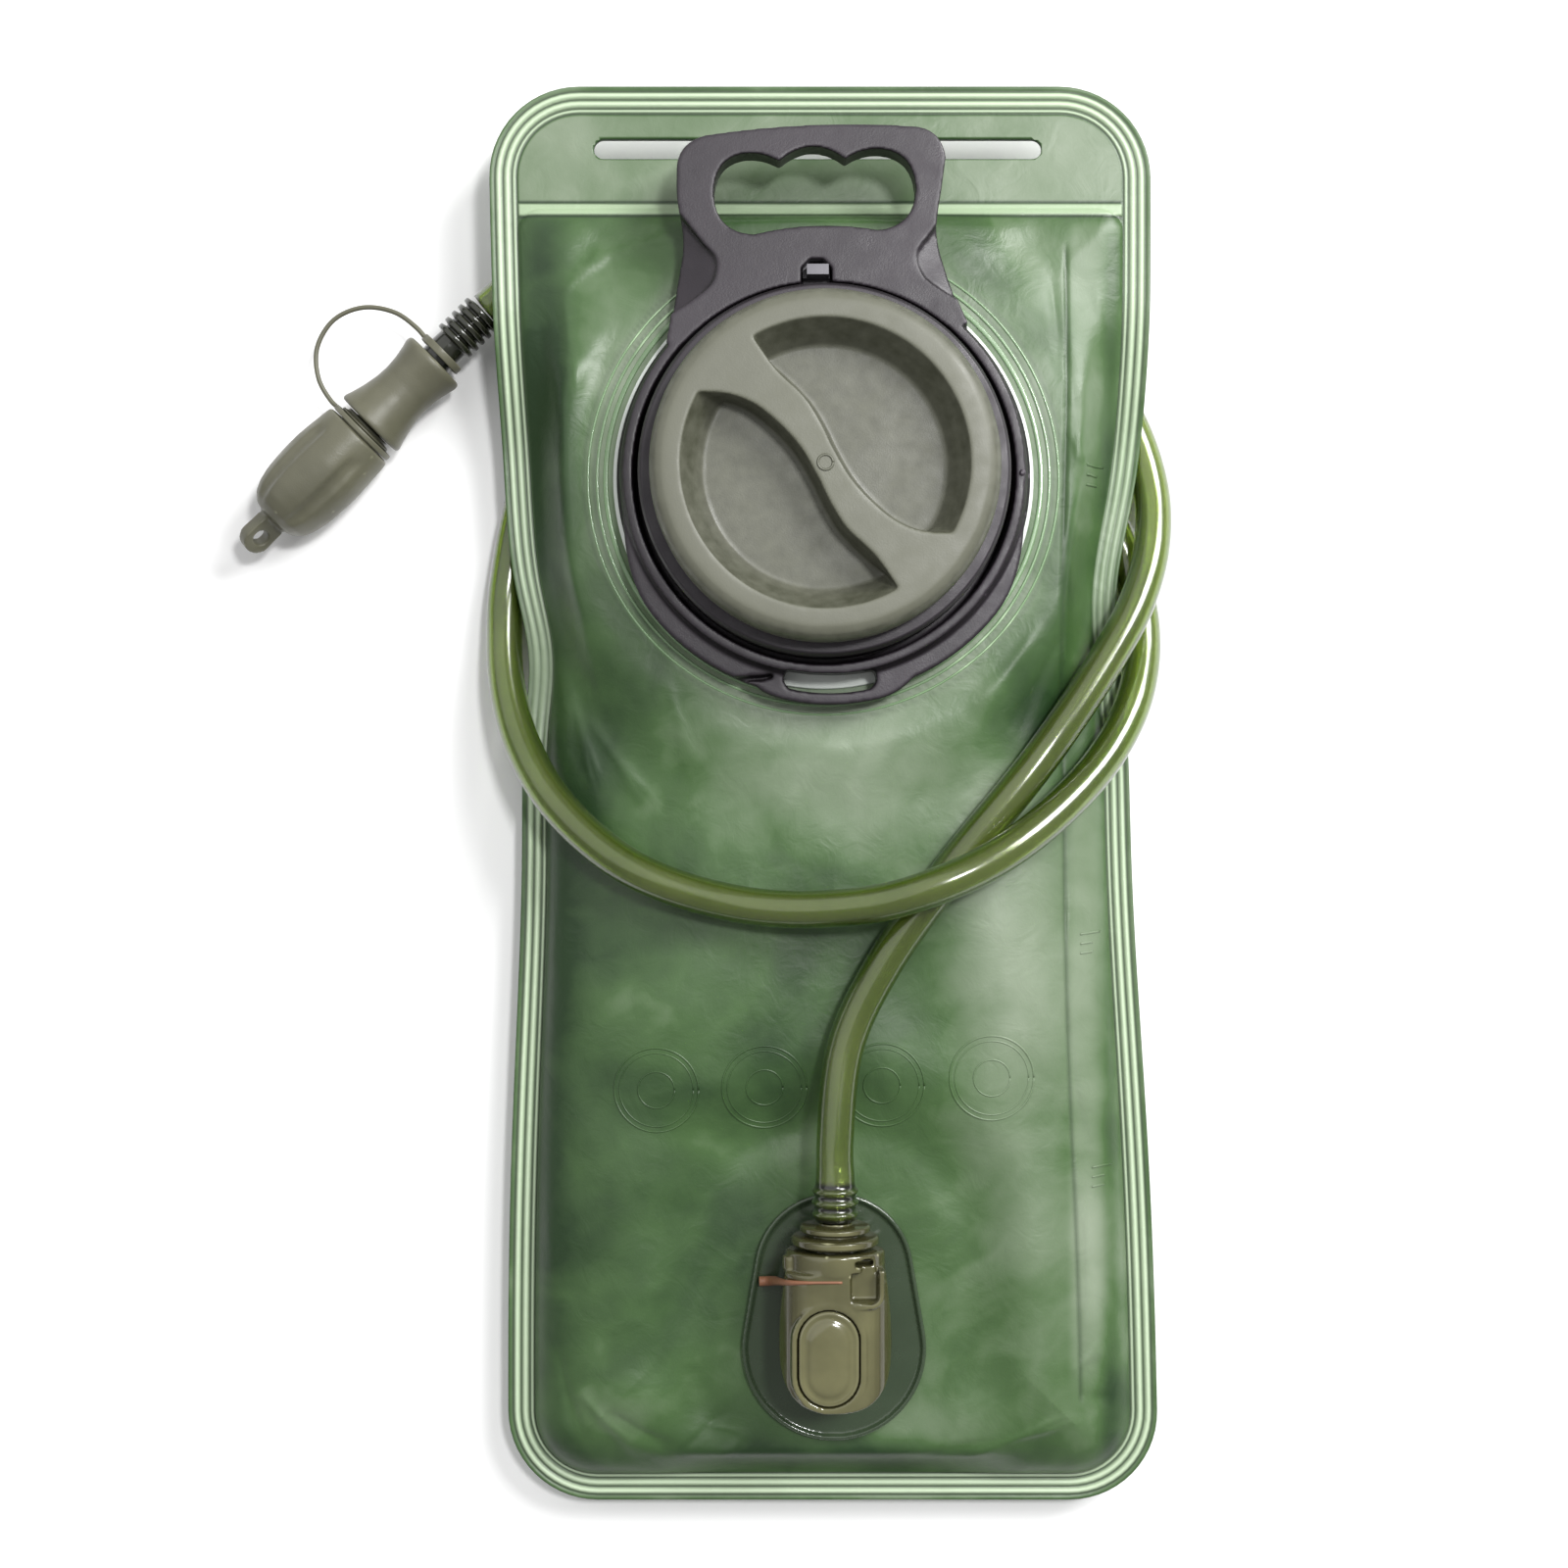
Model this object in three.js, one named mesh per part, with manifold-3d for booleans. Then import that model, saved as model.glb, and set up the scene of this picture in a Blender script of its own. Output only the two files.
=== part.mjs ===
// A two-litre hydration bladder lying on its back, with its drinking hose wrapped once round it.
// Millimetres, +Z up, +X to the right and +Y towards the carrying handle.
// The origin is on the floor under the middle of the bag.

import * as THREE from 'three';
import { mergeVertices } from 'three/addons/utils/BufferGeometryUtils.js';
import Module from 'manifold-3d';

const wasm = await Module();
wasm.setup();

// ---------------------------------------------------------------- driving dimensions

const GAP = 0.3;

const BAG = {
  halfLength: 180,
  halfWidth: 83.6,
  cornerRadius: 23,
  waistDepth: 5.4,
  waistSpread: 85,
  lean: 0.011,
  seamWidth: 7,
  film: 0.6,
};

// The bag's edge is tucked in where the hose goes round it.
const TUCKS = {
  left: { depth: 3.2, y: 37, spread: 17 },
  right: { depth: 5, y: 52, spread: 26 },
};

// The pouch is the part that holds water, below the flat hanger strip.
const POUCH = { top: 149, topRadius: 6, bottomRadius: 16, frontLevel: 24, edgeRun: 42, backRun: 30 };

const HANGER_SLOT = { width: 113, height: 5, x: -2.3, y: 164.2 };

// The outer edge rises off the floor where the hose lies under it.
const SEAM = { low: 8, middle: 10.7, high: 18.6, rise: [20, 56], climb: [85, 128] };

const COIL = { y: 57, clearRadius: 38, hoseRadius: 65, start: 10, full: 50 };
const CROSSING = { x: -28, y: 136.5, height: 21.6, halfX: 34, halfY: 13, drop: 7 };

const PORT = { x: -1, y: 80, level: 26, seatRadius: 64.5, blend: 20, holeRadius: 41.2 };
const OUTLET = { x: 1.8, y: -130, level: 19.3, seatMargin: 9, blend: 24, holeRadius: 5.4, ductY: -8 };

const NECK = { inner: 36.5, outer: 40, flange: 57.2, flangeThickness: 2, height: 14 };
const THREAD = { pitch: 4, depth: 1.1, clearance: 0.4 };
const COLLAR = { inner: 46.6, outer: 50, lower: 54.5, height: 12, plateBottom: 4.2 };
const HANDLE_TURN = 0.035;
const CAP = {
  ringInner: 42.4,
  ringOuter: 45.2,
  grip: 42,
  gripBottom: 18.6,
  gripTop: 29.6,
  recess: 34,
  recessDepth: 8,
};

const FLANGE = { topRadius: 20, bottomRadius: 23.2, height: 62.2, thickness: 2 };
const SOCKET = {
  width: 27.4,
  topWidth: 24.6,
  top: 14.9,
  bottom: -18.8,
  base: 2.6,
  height: 22.8,
  axis: 13.3,
};
const BUTTON = { x: -1.7, y: -5.4, width: 14.6, length: 23, floor: 19.2, bottom: 20.6, top: 23.6 };
const PLUG = { body: 5.4, bore: 5.7, passage: 2.2, innerEnd: 2, outerEnd: 36 };
const POPPET = { back: -4.4, rim: 4.25, stem: 1.2, front: 1.7 };
const POPPET_SPRING = { radius: 3.3, pitch: 1.95, turns: 5, wire: 0.36 };

const HOSE = { radius: 4.65, sides: 8, steps: 78 };

const VALVE = { x: -87.4, y: 125, z: 11.2, heading: THREE.MathUtils.degToRad(224.6) };

// Points of the hose's centre line, from the outlet plug to the bite valve.
const HOSE_ROUTE = [
  [1.8, -93.7, 32.6],
  [1.8, -84, 32.3],
  [4.6, -60.6, 29.8],
  [14, -40.8, 29],
  [31, -17, 29],
  [53, 10.4, 27.6],
  [71.4, 37, 20.8],
  [78.6, 50, 17],
  [83.2, 65, 12.4],
  [83.6, 80.5, 7.7],
  [77.2, 100, 4.9],
  [60, 122.6, 4.8],
  [27, 141, 4.8],
  [-15, 142.4, 4.8],
  [-52, 123.8, 4.8],
  [-75, 87, 4.8],
  [-82.4, 56, 5.1],
  [-82.9, 43, 7.3],
  [-81.6, 29, 11.6],
  [-76.6, 13, 17.2],
  [-66.6, -2.2, 23.8],
  [-48, -17.2, 29],
  [-20, -26, 30.6],
  [8, -25.8, 36.2],
  [25, -21.4, 39.1],
  [42, -13.6, 36.2],
  [58, -1.8, 29],
  [71, 12, 20],
  [78.4, 25.6, 14.2],
  [81.5, 40, 8.2],
  [80, 54.6, 5],
  [71.4, 76, 4.8],
  [51, 101.6, 4.8],
  [20, 123.2, 5.8],
  [-8, 134, 11.6],
  [-27, 138.2, 14.6],
  [-49, 140.4, 12.8],
  [-63.5, 138.9, 11.7],
  [-76.2, 133.9, 11.3],
  [-87.2, 125.2, 11.2],
];

// ---------------------------------------------------------------- materials

function finish(color, roughness, options = {}) {
  return new THREE.MeshStandardMaterial({ color, roughness, metalness: 0, ...options });
}

const FILM = finish(0x5a7d55, 0.35, { transparent: true, opacity: 0.75 });
const CLEAR_TPU = finish(0xb8ccb0, 0.3);
const DARK_PLASTIC = finish(0x58505a, 0.45);
const OLIVE_PLASTIC = finish(0x8a8a76, 0.5);
const SMOKED_PLASTIC = finish(0x46554b, 0.3);
const AMBER_PLASTIC = finish(0x78734f, 0.3);
const HOSE_TPU = finish(0x96af3c, 0.2);
const VALVE_RUBBER = finish(0x807d6c, 0.6);
const SEAL_RUBBER = finish(0x2b2b2b, 0.7);
const ORANGE_RUBBER = finish(0xc96f45, 0.6);
const SILICONE = finish(0xd8d8cc, 0.5);
const STEEL = finish(0xb5b8ba, 0.3, { metalness: 1 });
const GREY_PLASTIC = finish(0xa9a9a6, 0.5);

// ---------------------------------------------------------------- small maths

function smooth(low, high, value) {
  const t = THREE.MathUtils.clamp((value - low) / (high - low), 0, 1);
  return t * t * (3 - 2 * t);
}

function bell(offset, spread) {
  return Math.exp(-((offset / spread) ** 2));
}

function dome(t) {
  const clamped = THREE.MathUtils.clamp(t, 0, 1);
  return Math.sqrt(1 - (1 - clamped) ** 2);
}

// ---------------------------------------------------------------- solids

function positionsOnly(geometry) {
  const copy = new THREE.BufferGeometry();
  copy.setAttribute('position', geometry.getAttribute('position').clone());
  if (geometry.index) {
    copy.setIndex(geometry.index.clone());
  }
  return mergeVertices(copy, 1e-4);
}

function signedVolume(geometry) {
  const points = geometry.getAttribute('position');
  const index = geometry.index;
  const a = new THREE.Vector3();
  const b = new THREE.Vector3();
  const c = new THREE.Vector3();
  let volume = 0;
  for (let i = 0; i < index.count; i += 3) {
    a.fromBufferAttribute(points, index.getX(i));
    b.fromBufferAttribute(points, index.getX(i + 1));
    c.fromBufferAttribute(points, index.getX(i + 2));
    volume += a.dot(b.cross(c)) / 6;
  }
  return volume;
}

function facesOut(geometry) {
  const result = positionsOnly(geometry);
  if (signedVolume(result) < 0) {
    result.setIndex(Array.from(result.index.array).reverse());
  }
  return result;
}

function toSolid(geometry) {
  const closed = facesOut(geometry);
  return new wasm.Manifold(new wasm.Mesh({
    numProp: 3,
    vertProperties: new Float32Array(closed.getAttribute('position').array),
    triVerts: new Uint32Array(closed.index.array),
  }));
}

function toGeometry(solid) {
  const mesh = solid.getMesh();
  const geometry = new THREE.BufferGeometry();
  geometry.setAttribute('position', new THREE.BufferAttribute(new Float32Array(mesh.vertProperties), 3));
  geometry.setIndex(new THREE.BufferAttribute(new Uint32Array(mesh.triVerts), 1));
  return geometry;
}

function cut(base, ...tools) {
  return toGeometry(tools.reduce((solid, tool) => solid.subtract(toSolid(tool)), toSolid(base)));
}

function join(base, ...others) {
  return toGeometry(others.reduce((solid, other) => solid.add(toSolid(other)), toSolid(base)));
}

function common(first, second) {
  return toGeometry(toSolid(first).intersect(toSolid(second)));
}

function profile(pairs) {
  return pairs.map(([x, y]) => new THREE.Vector2(x, y));
}

// A solid of revolution about Z. Pairs are radius and height.
function turned(pairs, segments = 40) {
  return facesOut(new THREE.LatheGeometry(profile(pairs), segments).rotateX(Math.PI / 2));
}

// A solid of revolution about Y, at a height above the group's base.
function turnedAlongY(pairs, height, segments = 24) {
  return facesOut(new THREE.LatheGeometry(profile(pairs), segments).translate(0, 0, height));
}

// A solid of revolution about X. Pairs are radius and distance along X.
function turnedAlongX(pairs, segments = 32) {
  return facesOut(new THREE.LatheGeometry(profile(pairs), segments).rotateZ(-Math.PI / 2));
}

function closedRing(inner, outer, low, high) {
  return [[inner, low], [outer, low], [outer, high], [inner, high], [inner, low]];
}

function prism(shape, low, high, curveSegments = 16) {
  const options = { depth: high - low, bevelEnabled: false, curveSegments };
  return facesOut(new THREE.ExtrudeGeometry(shape, options).translate(0, 0, low));
}

function box(low, high) {
  const size = high.map((value, i) => value - low[i]);
  const middle = high.map((value, i) => (value + low[i]) / 2);
  return facesOut(new THREE.BoxGeometry(...size).translate(...middle));
}

function polygon(radius, sides) {
  const shape = new THREE.Shape();
  for (let i = 0; i < sides; i += 1) {
    const angle = (2 * Math.PI * i) / sides;
    const x = radius * Math.cos(angle);
    const y = radius * Math.sin(angle);
    if (i === 0) {
      shape.moveTo(x, y);
    } else {
      shape.lineTo(x, y);
    }
  }
  return shape;
}

function tubeAlong(curve, radius, sides, steps) {
  const options = { steps, extrudePath: curve, bevelEnabled: false };
  return facesOut(new THREE.ExtrudeGeometry(polygon(radius, sides), options));
}

function helix(radius, pitch, turns, low, pointsPerTurn) {
  const points = [];
  const count = Math.round(turns * pointsPerTurn);
  for (let i = 0; i <= count; i += 1) {
    const angle = (2 * Math.PI * i) / pointsPerTurn;
    const height = low + (pitch * i) / pointsPerTurn;
    points.push(new THREE.Vector3(radius * Math.cos(angle), radius * Math.sin(angle), height));
  }
  return { curve: new THREE.CatmullRomCurve3(points), steps: count };
}

function racetrack(width, length) {
  const radius = width / 2;
  const straight = length / 2 - radius;
  const shape = new THREE.Shape();
  shape.absarc(0, straight, radius, 0, Math.PI, false);
  shape.absarc(0, -straight, radius, Math.PI, 2 * Math.PI, false);
  shape.closePath();
  return shape;
}

function mesh(name, geometry, material) {
  const object = new THREE.Mesh(geometry, material);
  object.name = name;
  return object;
}

// ---------------------------------------------------------------- the bag's shape

function halfWidthAt(y, side) {
  const tuck = side < 0 ? TUCKS.left : TUCKS.right;
  const waist = BAG.waistDepth * bell(y, BAG.waistSpread);
  return BAG.halfWidth - waist - tuck.depth * bell(y - tuck.y, tuck.spread);
}

function bagPoint(x, y) {
  return [(x * halfWidthAt(y, Math.sign(x))) / BAG.halfWidth - BAG.lean * y, y];
}

function flatPoint(x, y) {
  const centred = x + BAG.lean * y;
  return [(centred * BAG.halfWidth) / halfWidthAt(y, Math.sign(centred)), y];
}

// Corner of a rounded rectangle, as points of one quarter arc.
function cornerArc(x, y, radius, start, count) {
  const points = [];
  for (let i = 0; i <= count; i += 1) {
    const angle = start + (Math.PI / 2) * (i / count);
    points.push([x + radius * Math.cos(angle), y + radius * Math.sin(angle)]);
  }
  return points;
}

function straightRun(from, to, count) {
  const points = [];
  for (let i = 1; i < count; i += 1) {
    const t = i / count;
    points.push([from[0] + (to[0] - from[0]) * t, from[1] + (to[1] - from[1]) * t]);
  }
  return points;
}

const CORNER_STEPS = 4;
const SIDE_STEPS = 15;
const END_STEPS = 7;

// Every outline has the same number of points, so that rings between two outlines can be skinned.
function outline(halfWidth, top, bottom, topRadius, bottomRadius) {
  const right = halfWidth;
  const corners = [
    cornerArc(right - topRadius, top - topRadius, topRadius, 0, CORNER_STEPS),
    cornerArc(topRadius - right, top - topRadius, topRadius, Math.PI / 2, CORNER_STEPS),
    cornerArc(bottomRadius - right, bottom + bottomRadius, bottomRadius, Math.PI, CORNER_STEPS),
    cornerArc(right - bottomRadius, bottom + bottomRadius, bottomRadius, 1.5 * Math.PI, CORNER_STEPS),
  ];
  const runs = [END_STEPS, SIDE_STEPS, END_STEPS, SIDE_STEPS];
  return corners.flatMap((corner, i) => {
    const next = corners[(i + 1) % corners.length];
    return [...corner, ...straightRun(corner[corner.length - 1], next[0], runs[i])];
  });
}

// Distance from the pouch's edge, measured inwards on the flat pattern.
function pouchDepth(x, y) {
  const bottom = BAG.seamWidth - BAG.halfLength;
  const middle = (POUCH.top + bottom) / 2;
  const radius = y > middle ? POUCH.topRadius : POUCH.bottomRadius;
  const dx = Math.abs(x) - (BAG.halfWidth - BAG.seamWidth - radius);
  const dy = Math.abs(y - middle) - ((POUCH.top - bottom) / 2 - radius);
  const outside = Math.hypot(Math.max(dx, 0), Math.max(dy, 0));
  return radius - outside - Math.min(Math.max(dx, dy), 0);
}

function seamHeight(y) {
  const rise = (SEAM.middle - SEAM.low) * smooth(...SEAM.rise, y);
  const climb = (SEAM.high - SEAM.middle) * smooth(...SEAM.climb, y);
  return SEAM.low + rise + climb;
}

// How far a point lies outside the outlet's flange, negative inside.
function outsideOutlet(x, y) {
  const reach = FLANGE.height / 2 - FLANGE.bottomRadius + 5;
  const along = Math.max(Math.abs(y - OUTLET.y) - reach, 0);
  return Math.hypot(x - OUTLET.x, along) - FLANGE.bottomRadius - OUTLET.seatMargin;
}

function frontTop(x, y) {
  const depth = pouchDepth(...flatPoint(x, y));
  const fromPort = Math.hypot(x - PORT.x, y - PORT.y) - PORT.seatRadius;
  const nearPort = 1 - smooth(0, PORT.blend, fromPort);
  const nearOutlet = 1 - smooth(0, OUTLET.blend, outsideOutlet(x, y));
  const rimRun = 5 + 6 * smooth(0, 40, 139 - y);
  const outletRun = 9;
  let fill = dome(depth / POUCH.edgeRun);
  fill = THREE.MathUtils.lerp(fill, smooth(0, rimRun, depth), nearPort);
  fill = THREE.MathUtils.lerp(fill, smooth(0, outletRun, depth), nearOutlet);
  let level = THREE.MathUtils.lerp(POUCH.frontLevel, PORT.level, nearPort);
  level = THREE.MathUtils.lerp(level, OUTLET.level, nearOutlet);
  return THREE.MathUtils.lerp(seamHeight(y) + GAP / 2 + BAG.film, level, fill);
}

function backBottom(x, y) {
  const depth = pouchDepth(...flatPoint(x, y));
  const fromCoil = Math.hypot(x, Math.max(y - COIL.y, 0));
  const lift = smooth(COIL.clearRadius, COIL.hoseRadius, fromCoil) * smooth(COIL.start, COIL.full, y);
  const fill = dome(depth / POUCH.backRun) * (1 - lift);
  const level = THREE.MathUtils.lerp(seamHeight(y) - GAP / 2 - BAG.film, 0, fill);
  const away = ((x - CROSSING.x) / CROSSING.halfX) ** 2 + ((y - CROSSING.y) / CROSSING.halfY) ** 2;
  return depth > 0 ? Math.max(level, CROSSING.height - CROSSING.drop * away) : level;
}

// ---------------------------------------------------------------- bag sheets

const RING_FRACTIONS = [0.955, 0.9, 0.8, 0.7, 0.58, 0.42, 0.22];

// Rings of flat points, from the outer edge to the middle of the pouch.
function bagRings() {
  const pouchBottom = BAG.seamWidth - BAG.halfLength;
  const pouchHalf = BAG.halfWidth - BAG.seamWidth;
  const edge = outline(BAG.halfWidth, BAG.halfLength, -BAG.halfLength, BAG.cornerRadius, BAG.cornerRadius);
  const pouch = outline(pouchHalf, POUCH.top, pouchBottom, POUCH.topRadius, POUCH.bottomRadius);
  const middle = (POUCH.top + pouchBottom) / 2;
  const inner = RING_FRACTIONS.map((f) => pouch.map(([x, y]) => [x * f, middle + (y - middle) * f]));
  return [edge, pouch, ...inner];
}

// A closed sheet of the film's thickness, whose lower face follows the given height.
function sheet(heightAt) {
  const rings = bagRings();
  const count = rings[0].length;
  const pouchBottom = BAG.seamWidth - BAG.halfLength;
  const centre = bagPoint(0, (POUCH.top + pouchBottom) / 2);
  const points = [];
  const faces = [];
  for (const thickness of [0, BAG.film]) {
    for (const ring of rings) {
      for (const [flatX, flatY] of ring) {
        const [x, y] = bagPoint(flatX, flatY);
        points.push(x, y, heightAt(x, y) + thickness);
      }
    }
    points.push(centre[0], centre[1], heightAt(...centre) + thickness);
  }
  const layer = rings.length * count + 1;
  for (let side = 0; side < 2; side += 1) {
    const base = side * layer;
    const add = side === 0 ? (a, b, c) => faces.push(a, c, b) : (a, b, c) => faces.push(a, b, c);
    for (let ring = 0; ring < rings.length - 1; ring += 1) {
      for (let i = 0; i < count; i += 1) {
        const next = (i + 1) % count;
        const outer = base + ring * count;
        const inner = outer + count;
        add(outer + i, outer + next, inner + next);
        add(outer + i, inner + next, inner + i);
      }
    }
    const last = base + (rings.length - 1) * count;
    for (let i = 0; i < count; i += 1) {
      add(last + i, last + ((i + 1) % count), base + layer - 1);
    }
  }
  for (let i = 0; i < count; i += 1) {
    const next = (i + 1) % count;
    faces.push(i, next, layer + next);
    faces.push(i, layer + next, layer + i);
  }
  const geometry = new THREE.BufferGeometry();
  geometry.setAttribute('position', new THREE.Float32BufferAttribute(points, 3));
  geometry.setIndex(faces);
  return facesOut(geometry);
}

function hangerSlot() {
  const slot = racetrack(HANGER_SLOT.height, HANGER_SLOT.width);
  return prism(slot, 0, 40, 6).rotateZ(Math.PI / 2).translate(HANGER_SLOT.x, HANGER_SLOT.y, 0);
}

function frontSheet() {
  const portHole = turned([[0, 0], [PORT.holeRadius, 0], [PORT.holeRadius, 60], [0, 60]], 40);
  const outletHole = turned([[0, 0], [OUTLET.holeRadius, 0], [OUTLET.holeRadius, 60], [0, 60]], 20);
  return cut(
    sheet((x, y) => frontTop(x, y) - BAG.film),
    hangerSlot(),
    portHole.translate(PORT.x, PORT.y, 0),
    outletHole.translate(OUTLET.x, OUTLET.y + OUTLET.ductY, 0),
  );
}

function backSheet() {
  return cut(sheet(backBottom), hangerSlot());
}

// ---------------------------------------------------------------- fill port

function threadRidge(radius, low, turns, sides = 4) {
  const path = helix(radius, THREAD.pitch, turns, low, 20);
  return tubeAlong(path.curve, THREAD.depth, sides, path.steps);
}

function portFlange() {
  const { inner, outer, flange, flangeThickness, height } = NECK;
  const top = -BAG.film - GAP;
  const bottom = top - flangeThickness;
  const body = turned([
    [inner, bottom],
    [flange, bottom],
    [flange, top],
    [outer, top],
    [outer, height - 0.6],
    [outer - 0.6, height],
    [inner + 0.6, height],
    [inner, height - 0.6],
    [inner, bottom],
  ], 44);
  return join(body, threadRidge(outer, 7, 1.15));
}

function collarOutline() {
  const shape = new THREE.Shape();
  const steps = 44;
  for (let i = 0; i < steps; i += 1) {
    const angle = (2 * Math.PI * i) / steps;
    const below = THREE.MathUtils.clamp(-Math.sin(angle), 0, 1);
    const radius = COLLAR.outer + (COLLAR.lower - COLLAR.outer) * smooth(0.1, 0.65, below);
    const point = [radius * Math.cos(angle), radius * Math.sin(angle)];
    if (i === 0) {
      shape.moveTo(...point);
    } else {
      shape.lineTo(...point);
    }
  }
  shape.closePath();
  return shape;
}

function handleOutline() {
  const shape = new THREE.Shape();
  shape.moveTo(-37.5, 33);
  shape.splineThru(profile([[-34.6, 47], [-32.6, 58], [-33.6, 69], [-33.4, 76]]));
  shape.quadraticCurveTo(-32.6, 82, -26, 83.4);
  shape.quadraticCurveTo(0, 86.4, 25, 83.8);
  shape.quadraticCurveTo(31.6, 83, 32.4, 76);
  shape.splineThru(profile([[31.2, 69], [29.6, 58], [32, 47], [36.5, 35]]));
  shape.closePath();
  return shape;
}

function fingerHole() {
  const shape = new THREE.Shape();
  shape.moveTo(-24.6, 68.6);
  shape.quadraticCurveTo(-24.4, 77.6, -17, 78.6);
  shape.quadraticCurveTo(-12.4, 79, -8.4, 76.4);
  shape.quadraticCurveTo(-0.2, 83, 7.8, 76.4);
  shape.quadraticCurveTo(11.8, 79, 16.4, 78.6);
  shape.quadraticCurveTo(24.6, 77.6, 24.8, 68.6);
  shape.quadraticCurveTo(24.2, 59.4, 15.4, 58.8);
  shape.quadraticCurveTo(0, 62, -15, 58.8);
  shape.quadraticCurveTo(-24.2, 59.4, -24.6, 68.6);
  shape.closePath();
  return shape;
}

function lugOutline() {
  const shape = new THREE.Shape();
  shape.moveTo(-18, -47);
  shape.quadraticCurveTo(-19.4, -52.8, -10, -55.2);
  shape.quadraticCurveTo(1.5, -58, 14, -55);
  shape.quadraticCurveTo(20.5, -53, 24, -47);
  shape.closePath();
  return shape;
}

function lugSlot() {
  const shape = new THREE.Shape();
  shape.moveTo(-9, -48);
  shape.quadraticCurveTo(1.5, -50, 12.2, -48);
  shape.quadraticCurveTo(14, -50.6, 11.4, -52.6);
  shape.quadraticCurveTo(1.5, -54.8, -8.4, -52.6);
  shape.quadraticCurveTo(-11, -50.6, -9, -48);
  shape.closePath();
  return shape;
}

const WINDOW = { low: [-5.6, 47.9], high: [1.9, 52.2] };
const INDEX_PIN = { x: 48.4, radius: 0.8, bottom: 9 };

function collarHandle() {
  const { inner, outer, height, plateBottom } = COLLAR;
  const webTop = 3;
  const outside = turned([
    [inner, webTop],
    [NECK.outer + 0.5, webTop],
    [NECK.outer + 0.5, GAP],
    [outer + 1.4, GAP],
    [outer + 1.4, 2.6],
    [outer + 0.4, 3.6],
    [outer + 0.4, 7],
    [outer, 7.6],
    [outer, height - 1],
    [outer - 1, height],
    [inner, height],
    [inner, webTop],
  ], 44);
  const bore = turned([[0, 0], [inner, 0], [inner, 40], [0, 40]], 44);
  const lower = cut(prism(collarOutline(), GAP, 9), bore);
  const plate = prism(handleOutline(), plateBottom, height).rotateZ(HANDLE_TURN);
  const finger = prism(fingerHole(), 0, 30).rotateZ(HANDLE_TURN);
  const lug = cut(prism(lugOutline(), plateBottom, 9), bore);
  const window = box([...WINDOW.low, 6], [...WINDOW.high, 20]);
  const pinHole = turned([[0, 0], [INDEX_PIN.radius + GAP, 0], [INDEX_PIN.radius + GAP, 10], [0, 10]], 12);
  const whole = join(outside, lower, cut(plate, bore), lug);
  return cut(
    whole,
    finger,
    prism(lugSlot(), 0, 30),
    window,
    pinHole.translate(INDEX_PIN.x, 0, INDEX_PIN.bottom - GAP),
  );
}

function lockTab() {
  const [lowX, lowY] = WINDOW.low;
  const [highX, highY] = WINDOW.high;
  const foot = box([lowX + 0.4, lowY + 0.4, 6 + GAP], [highX - 0.4, highY - 0.4, 8]);
  const tongue = box([lowX + 1.4, lowY + 0.4, 7], [highX - 0.8, highY - 1.4, 12.6]);
  return join(foot, tongue);
}

function indexPin() {
  const { x, radius, bottom } = INDEX_PIN;
  const pin = turned([[0, bottom], [radius, bottom], [radius, 12.2], [radius - 0.4, 12.6], [0, 12.6]], 12);
  return pin.translate(x, 0, 0);
}

function capGasket() {
  return turned(closedRing(NECK.inner + 0.4, NECK.outer - 0.2, NECK.height + GAP, 15.7), 36);
}

function capLiner() {
  return turned([
    [0, 14.6],
    [30, 14.6],
    [32.4, 15.6],
    [32.4, 18.3],
    [29, 18.3],
    [27, 17],
    [0, 17],
  ], 36);
}

function capRing() {
  const { ringInner, ringOuter } = CAP;
  const skirt = turned([
    [ringInner, 4.2],
    [ringOuter - 0.4, 4.2],
    [ringOuter, 4.8],
    [ringOuter, 17.4],
    [ringOuter - 0.9, 18.3],
    [32.8, 18.3],
    [32.8, 16],
    [ringInner, 16],
    [ringInner, 4.2],
  ], 44);
  const ridge = threadRidge(NECK.outer + 2 * THREAD.depth + THREAD.clearance, 4.9, 0.9);
  return join(skirt, ridge);
}

function recessOutline() {
  const shape = new THREE.Shape();
  const start = THREE.MathUtils.degToRad(-29);
  const end = THREE.MathUtils.degToRad(120);
  shape.absarc(0, 0, CAP.recess, start, end, false);
  const last = [CAP.recess * Math.cos(start), CAP.recess * Math.sin(start)];
  shape.splineThru(profile([
    [-11.8, 22.1],
    [-4.8, 15.2],
    [-1.2, 9.5],
    [2, 3],
    [6.2, -4],
    [11.6, -9.8],
    [17.1, -14],
    [23.2, -16.2],
    last,
  ]));
  return shape;
}

function capGrip() {
  const { grip, gripBottom, gripTop, recessDepth } = CAP;
  const body = turned([
    [0, gripBottom],
    [grip - 0.6, gripBottom],
    [grip, gripBottom + 0.6],
    [grip, gripTop - 3.4],
    [grip - 0.9, gripTop - 1.3],
    [grip - 3, gripTop],
    [0, gripTop],
  ], 44);
  const recess = prism(recessOutline(), gripTop - recessDepth, gripTop + 5, 14);
  return cut(body, recess, recess.clone().rotateZ(Math.PI));
}

function fillPort() {
  const port = new THREE.Group();
  port.position.set(PORT.x, PORT.y, PORT.level);
  port.add(
    mesh('port_flange', portFlange(), CLEAR_TPU),
    mesh('collar_handle', collarHandle(), DARK_PLASTIC),
    mesh('lock_tab', lockTab(), GREY_PLASTIC),
    mesh('index_pin', indexPin(), DARK_PLASTIC),
    mesh('cap_gasket', capGasket(), SILICONE),
    mesh('cap_liner', capLiner(), DARK_PLASTIC),
    mesh('cap_ring', capRing(), DARK_PLASTIC),
    mesh('cap_grip', capGrip(), OLIVE_PLASTIC),
  );
  return port;
}

// ---------------------------------------------------------------- outlet

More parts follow.
